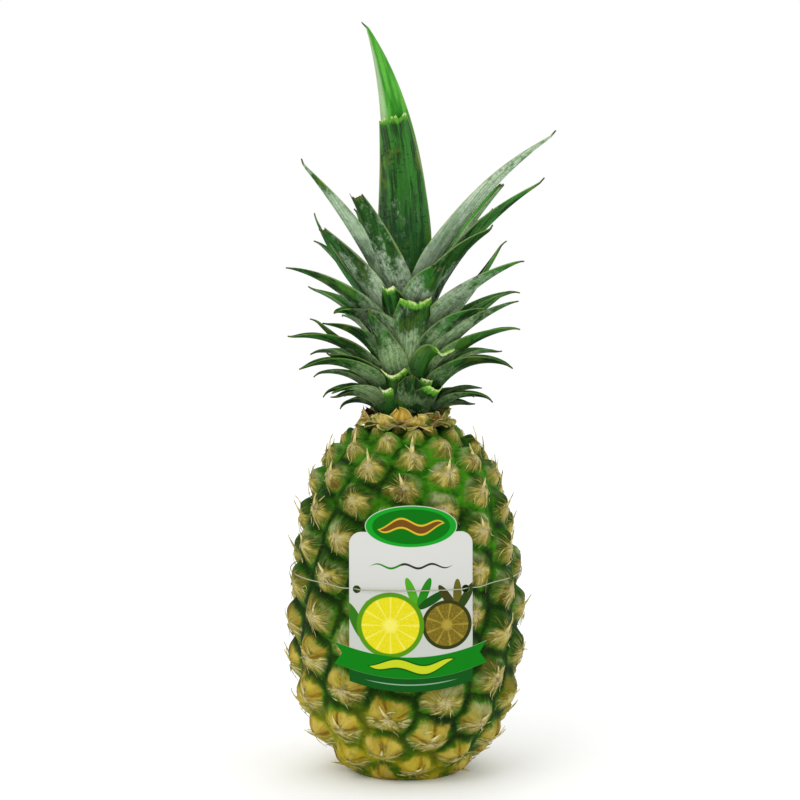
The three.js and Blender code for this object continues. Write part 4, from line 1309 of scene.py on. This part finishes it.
def slice_ink(recipe, base, x, z, middle, radius, inks, petals):
    """A round slice: rind, flesh and spokes."""
    oval = oval_ink(recipe, x, z, middle, (radius, radius))
    spokes = recipe.math("COSINE", recipe.math("ARCTAN2", z - middle[1], x - middle[0]) * petals)
    speckle = recipe.noise(recipe.vector(x, z), 1.1)
    rind, flesh, pale = inks
    body = spokes.eased(0.75, 0.98, 0.0, 0.7).mix(flesh, pale)
    body = speckle.eased(0.5, 0.7, 0.0, 0.6).mix(body, pale)
    body = oval["Reach"].eased(0.3, 0.12).mix(body, pale)
    ink = oval["Reach"].eased(0.84, 0.88).mix(body, rind)
    return oval["Mask"].mix(base, ink)


def band_ink(base, x, level, middle, half, reach, ink):
    """A band along a level, between -reach and reach across, that thins toward its ends."""
    off = abs(level - middle) + (abs(x) / reach) ** 4.0 * half
    return off.eased(half + 0.1, half - 0.1).mix(base, ink)


def rippled(recipe, level, x, swing, length):
    """A level that rises and falls across the card, once in each length."""
    return level + recipe.math("SINE", x * (2 * math.pi / length)) * swing


def sprig_ink(recipe, base, x, z, middle, size, leaves, inks):
    """A fan of leaves that spread from one foot."""
    for angle, ink in zip(leaves, inks):
        turn = math.radians(90 - angle)
        at = (middle[0] + size * math.cos(turn), middle[1] + size * math.sin(turn))
        base = oval_ink(recipe, x, z, at, (size, size * 0.26), turn)["Mask"].mix(base, ink)
    return base


SPRIGS = [  # foot, size, how far each leaf leans, and its ink
    ((-22, 76), 10, (-24, 4, 30), ("2E6E12", "63A01C", "1F7A10")),
    ((3, 92), 8, (-20, 22, 58), ("4A9A1E", "1F7A10", "0F4A08")),
    ((22, 90), 8, (-34, 0, 30), ("3A3A10", "5E5A1A", "2A3E0C")),
]
SLICES = [  # middle, radius, inks of rind, flesh and spokes, and the number of spokes
    ((17, 84), 12, ("2E3408", "6E5E16", "A08E34"), 9),
    ((-10, 84), 16, ("4E8A0A", "D4C90C", "E2DA5E"), 12),
]
LINE_HEIGHT, LINE_HALF, LINE_REACH = 112.5, 0.55, 20
INK_EDGE = 0.1  # half of the width over which one ink turns to the next


def card_surface(recipe):
    x, z, is_front = recipe.value("card_place")
    # Painted shade: the bare board is greyer toward its foot.
    base = z.eased(122.0, 78.0).mix("C9C9C5", "B9BDB4")
    for foot, size, leaves, inks in SPRIGS:
        base = sprig_ink(recipe, base, x, z, foot, size, leaves, inks)
    for middle, radius, inks, petals in SLICES:
        base = slice_ink(recipe, base, x, z, middle, radius, inks, petals)
    ripple = rippled(recipe, z, x, 1.0, 13.0)
    line = x.eased(-5.1, -4.9).mix("1E7A12", "2A2C2A")
    base = band_ink(base, x, ripple, LINE_HEIGHT, LINE_HALF, LINE_REACH, line)
    level = z - (x / TAG_REACH) ** 2.0 * RIBBON_SAG
    above_foot = level.eased(RIBBON_FOOT - INK_EDGE, RIBBON_FOOT + INK_EDGE)
    base = (1.0 - above_foot).mix(base, "084E10")
    base = (above_foot * level.eased(RIBBON_TOP + INK_EDGE, RIBBON_TOP - INK_EDGE)).mix(base, "05760A")
    wave_middle = (RIBBON_FOOT + RIBBON_TOP) / 2 + 0.4
    wavy = rippled(recipe, level, x, 1.6, 26.0)
    base = band_ink(base, x, wavy, wave_middle, 2.7, 21, "03520A")
    base = band_ink(base, x, wavy, wave_middle, 1.9, 20, "B9C41E")
    base = band_ink(base, x, level, RIBBON_FOOT - 3, 0.3, 22, "7FA486")
    head = oval_ink(recipe, x, z, (0, HEAD_MIDDLE), (HEAD_HALF_WIDTH - 0.3, HEAD_HALF_HEIGHT - 0.3))
    base = head["Mask"].mix(base, head["Reach"].eased(0.84, 0.87).mix("046808", "0E941E"))
    wavy = rippled(recipe, z, x, 1.7, 19.0)
    base = band_ink(base, x, wavy, HEAD_MIDDLE, 2.6, 16, "C9AA2E")
    base = band_ink(base, x, wavy, HEAD_MIDDLE, 1.7, 15, "6A4410")
    return is_front.mix("C9C8C0", base), 0.4, recipe.noise(recipe.place(), 900.0, detail=2.0), 0.00002


CARD = finish("coated card", card_surface, Specular_IOR_Level=0.08)
card = piece_from("printed_card", *card_part(), CARD, "printed_card")
card.data.set_sharp_from_angle(angle=math.radians(40))
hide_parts("tag_card")

# %% [markdown]
# ## The elastic
# A thin round elastic loops the fruit, comes through the holes of the card and crosses its front. It is one
# tube along a smooth closed curve, with a small overhand knot at the back. A bevelled curve may twist on its
# way round, so each ring of the tube is aimed the same way up. Its cover is a fine weave, made as bump from
# the distance along the loop.

# %% Elastic
ELASTIC_RADIUS, ELASTIC_REACH, KNOT_RADIUS, ELASTIC_STEP = 0.27, 57.6, 1.5, 0.8
ELASTIC_ON_CARD = [(0, 1.5), (12, 1.5), (22, 1.6), (24.4, 1.3), (26, 0.3), (27.6, -0.7), (30, -1), (33, -0.8)]
ELASTIC_TURNS = [44, 60, 80, 100, 120, 140, 160, 180]


def elastic_route():
    side, offset = np.array(ELASTIC_ON_CARD, float).T
    on_card = card_point(side, np.full_like(side, TAG_CREASE), offset)
    on_card[:, 2] = elastic_height(np.arctan2(on_card[:, 0], -on_card[:, 1]))
    turns = np.radians(ELASTIC_TURNS)
    one_side = np.vstack([on_card, around(turns, ELASTIC_REACH, elastic_height(turns))])
    other_side = one_side[1:-1][::-1] * [-1, 1, 1]
    return np.vstack([one_side, other_side])


def closed_curve(points, spacing, steps=40):
    """A smooth closed curve through points, at even steps. Its knots go by the square root of length."""
    t = (np.arange(steps) / steps)[:, None]
    ring = np.vstack([points[-1:], points, points[:2]])
    made = []
    for k in range(len(points)):
        p0, p1, p2, p3 = ring[k:k + 4]
        d0, d1, d2 = (np.linalg.norm(b - a) ** 0.5 for a, b in ((p0, p1), (p1, p2), (p2, p3)))
        leave = ((p1 - p0) / d0 - (p2 - p0) / (d0 + d1) + (p2 - p1) / d1) * d1
        arrive = ((p2 - p1) / d1 - (p3 - p1) / (d1 + d2) + (p3 - p2) / d2) * d1
        square, cubic = 3 * (p2 - p1) - 2 * leave - arrive, 2 * (p1 - p2) + leave + arrive
        made.append(p1 + leave * t + square * t**2 + cubic * t**3)
    looped = np.vstack([*made, made[0][:1]])
    run = np.concatenate([[0], np.cumsum(np.linalg.norm(np.diff(looped, axis=0), axis=1))])
    count = int(run[-1] / spacing)
    at = np.arange(count) * run[-1] / count
    return np.column_stack([np.interp(at, run, looped[:, axis]) for axis in range(3)]), at


def tube(curve, at, radius, aim=UP, sides=8):
    """A closed tube round a closed curve, with its first side square to the aim."""
    along = unit(np.roll(curve, -1, axis=0) - np.roll(curve, 1, axis=0))
    across = unit(np.cross(aim, along))
    up = np.cross(along, across)
    turns = full_turn(sides)
    ring = across[:, None, :] * np.cos(turns)[None, :, None] + up[:, None, :] * np.sin(turns)[None, :, None]
    points = (curve[:, None, :] + radius * ring).reshape(-1, 3)
    faces = []
    for row in range(len(curve)):
        near, far = row * sides, (row + 1) % len(curve) * sides
        faces += [(near + k, near + (k + 1) % sides, far + (k + 1) % sides, far + k) for k in range(sides)]
    return points, faces, {"cord": table(np.repeat(at, sides), np.tile(turns, len(curve)), 0)}


def knot_part(middle, steps=90):
    """A trefoil loop stands in for the overhand knot."""
    turn = full_turn(steps)
    x = np.sin(turn) + 2 * np.sin(2 * turn)
    y = np.cos(turn) - 2 * np.cos(2 * turn)
    curve = np.column_stack([x, 0.7 * np.sin(3 * turn), y]) * (KNOT_RADIUS - ELASTIC_RADIUS) / 3 + middle
    return tube(curve, turn * 3, ELASTIC_RADIUS, aim=(0, -1, 0))


def elastic_surface(recipe):
    run, turn, _ = recipe.value("cord")
    weave = recipe.math("SINE", run * 9.0 + turn * 2.0) * recipe.math("SINE", run * 9.0 - turn * 2.0)
    return weave.eased(-0.6, 0.6).mix("7E826A", "B9BAA2"), 0.55, weave, 0.00004


ELASTIC = finish("woven elastic", elastic_surface)
curve, at = closed_curve(elastic_route(), ELASTIC_STEP)
back = np.array([0.0, ELASTIC_REACH + ELASTIC_RADIUS, float(elastic_height(math.pi))])
points, faces, values = joined([tube(curve, at, ELASTIC_RADIUS), knot_part(back)])
elastic = piece_from("elastic_loop", spun(points), faces, values, ELASTIC, "elastic")
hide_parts("tag_elastic")

# %% [markdown]
# ## Studio
# A pale floor, a pale surround and large soft lights show the colours without hard shadows. The camera
# stands well back with a long lens, a little above the middle of the fruit, and looks slightly down.

# %% Floor, lights and camera
CAMERA_PLACE = Vector((-3, -1477, 350)) * MM
CAMERA_AIM = Vector((-3, 0, 186)) * MM
CAMERA_LENS, CAMERA_SENSOR = 135, 36
LIGHT_AIM = Vector((0, 0, 0.18))
FLOOR_HALF = 6
LIGHTS = [  # name, place, size and power
    ("key light", (-0.7, -1.1, 1.3), 0.9, 6),
    ("fill light", (1.2, -0.9, 0.7), 1.0, 2),
    ("back light", (0.3, 1.2, 1.2), 0.8, 2),
]


def make_floor():
    mesh = bpy.data.meshes.new("floor")
    corners = [(-1, -1, 0), (1, -1, 0), (1, 1, 0), (-1, 1, 0)]
    mesh.from_pydata([Vector(corner) * FLOOR_HALF for corner in corners], [], [(0, 1, 2, 3)])
    floor = bpy.data.objects.new("floor", mesh)
    bpy.context.scene.collection.objects.link(floor)
    material = bpy.data.materials.new("pale floor")
    material.use_nodes = True
    for key, value in (("Base Color", (1, 1, 1, 1)), ("Roughness", 1), ("Specular IOR Level", 0)):
        material.node_tree.nodes["Principled BSDF"].inputs[key].default_value = value
    mesh.materials.append(material)


def make_light(name, place, size, power):
    light = bpy.data.lights.new(name, "AREA")
    light.energy, light.size = power, size
    lamp = bpy.data.objects.new(name, light)
    lamp.location = place
    lamp.rotation_euler = (LIGHT_AIM - Vector(place)).to_track_quat("-Z", "Y").to_euler()
    bpy.context.scene.collection.objects.link(lamp)


def make_surround(strength):
    world = bpy.data.worlds.new("pale surround")
    world.use_nodes = True
    background = world.node_tree.nodes["Background"]
    background.inputs["Color"].default_value = (1, 1, 1, 1)
    background.inputs["Strength"].default_value = strength
    bpy.context.scene.world = world


def make_camera():
    data = bpy.data.cameras.new("camera")
    data.lens, data.sensor_width = CAMERA_LENS, CAMERA_SENSOR
    camera = bpy.data.objects.new("camera", data)
    camera.location = CAMERA_PLACE
    camera.rotation_euler = (CAMERA_AIM - CAMERA_PLACE).to_track_quat("-Z", "Y").to_euler()
    bpy.context.scene.collection.objects.link(camera)
    bpy.context.scene.camera = camera


make_floor()
make_surround(1.0)
for light in LIGHTS:
    make_light(*light)
make_camera()
bpy.context.scene.view_settings.view_transform = "Standard"
print("lights:", len(LIGHTS))
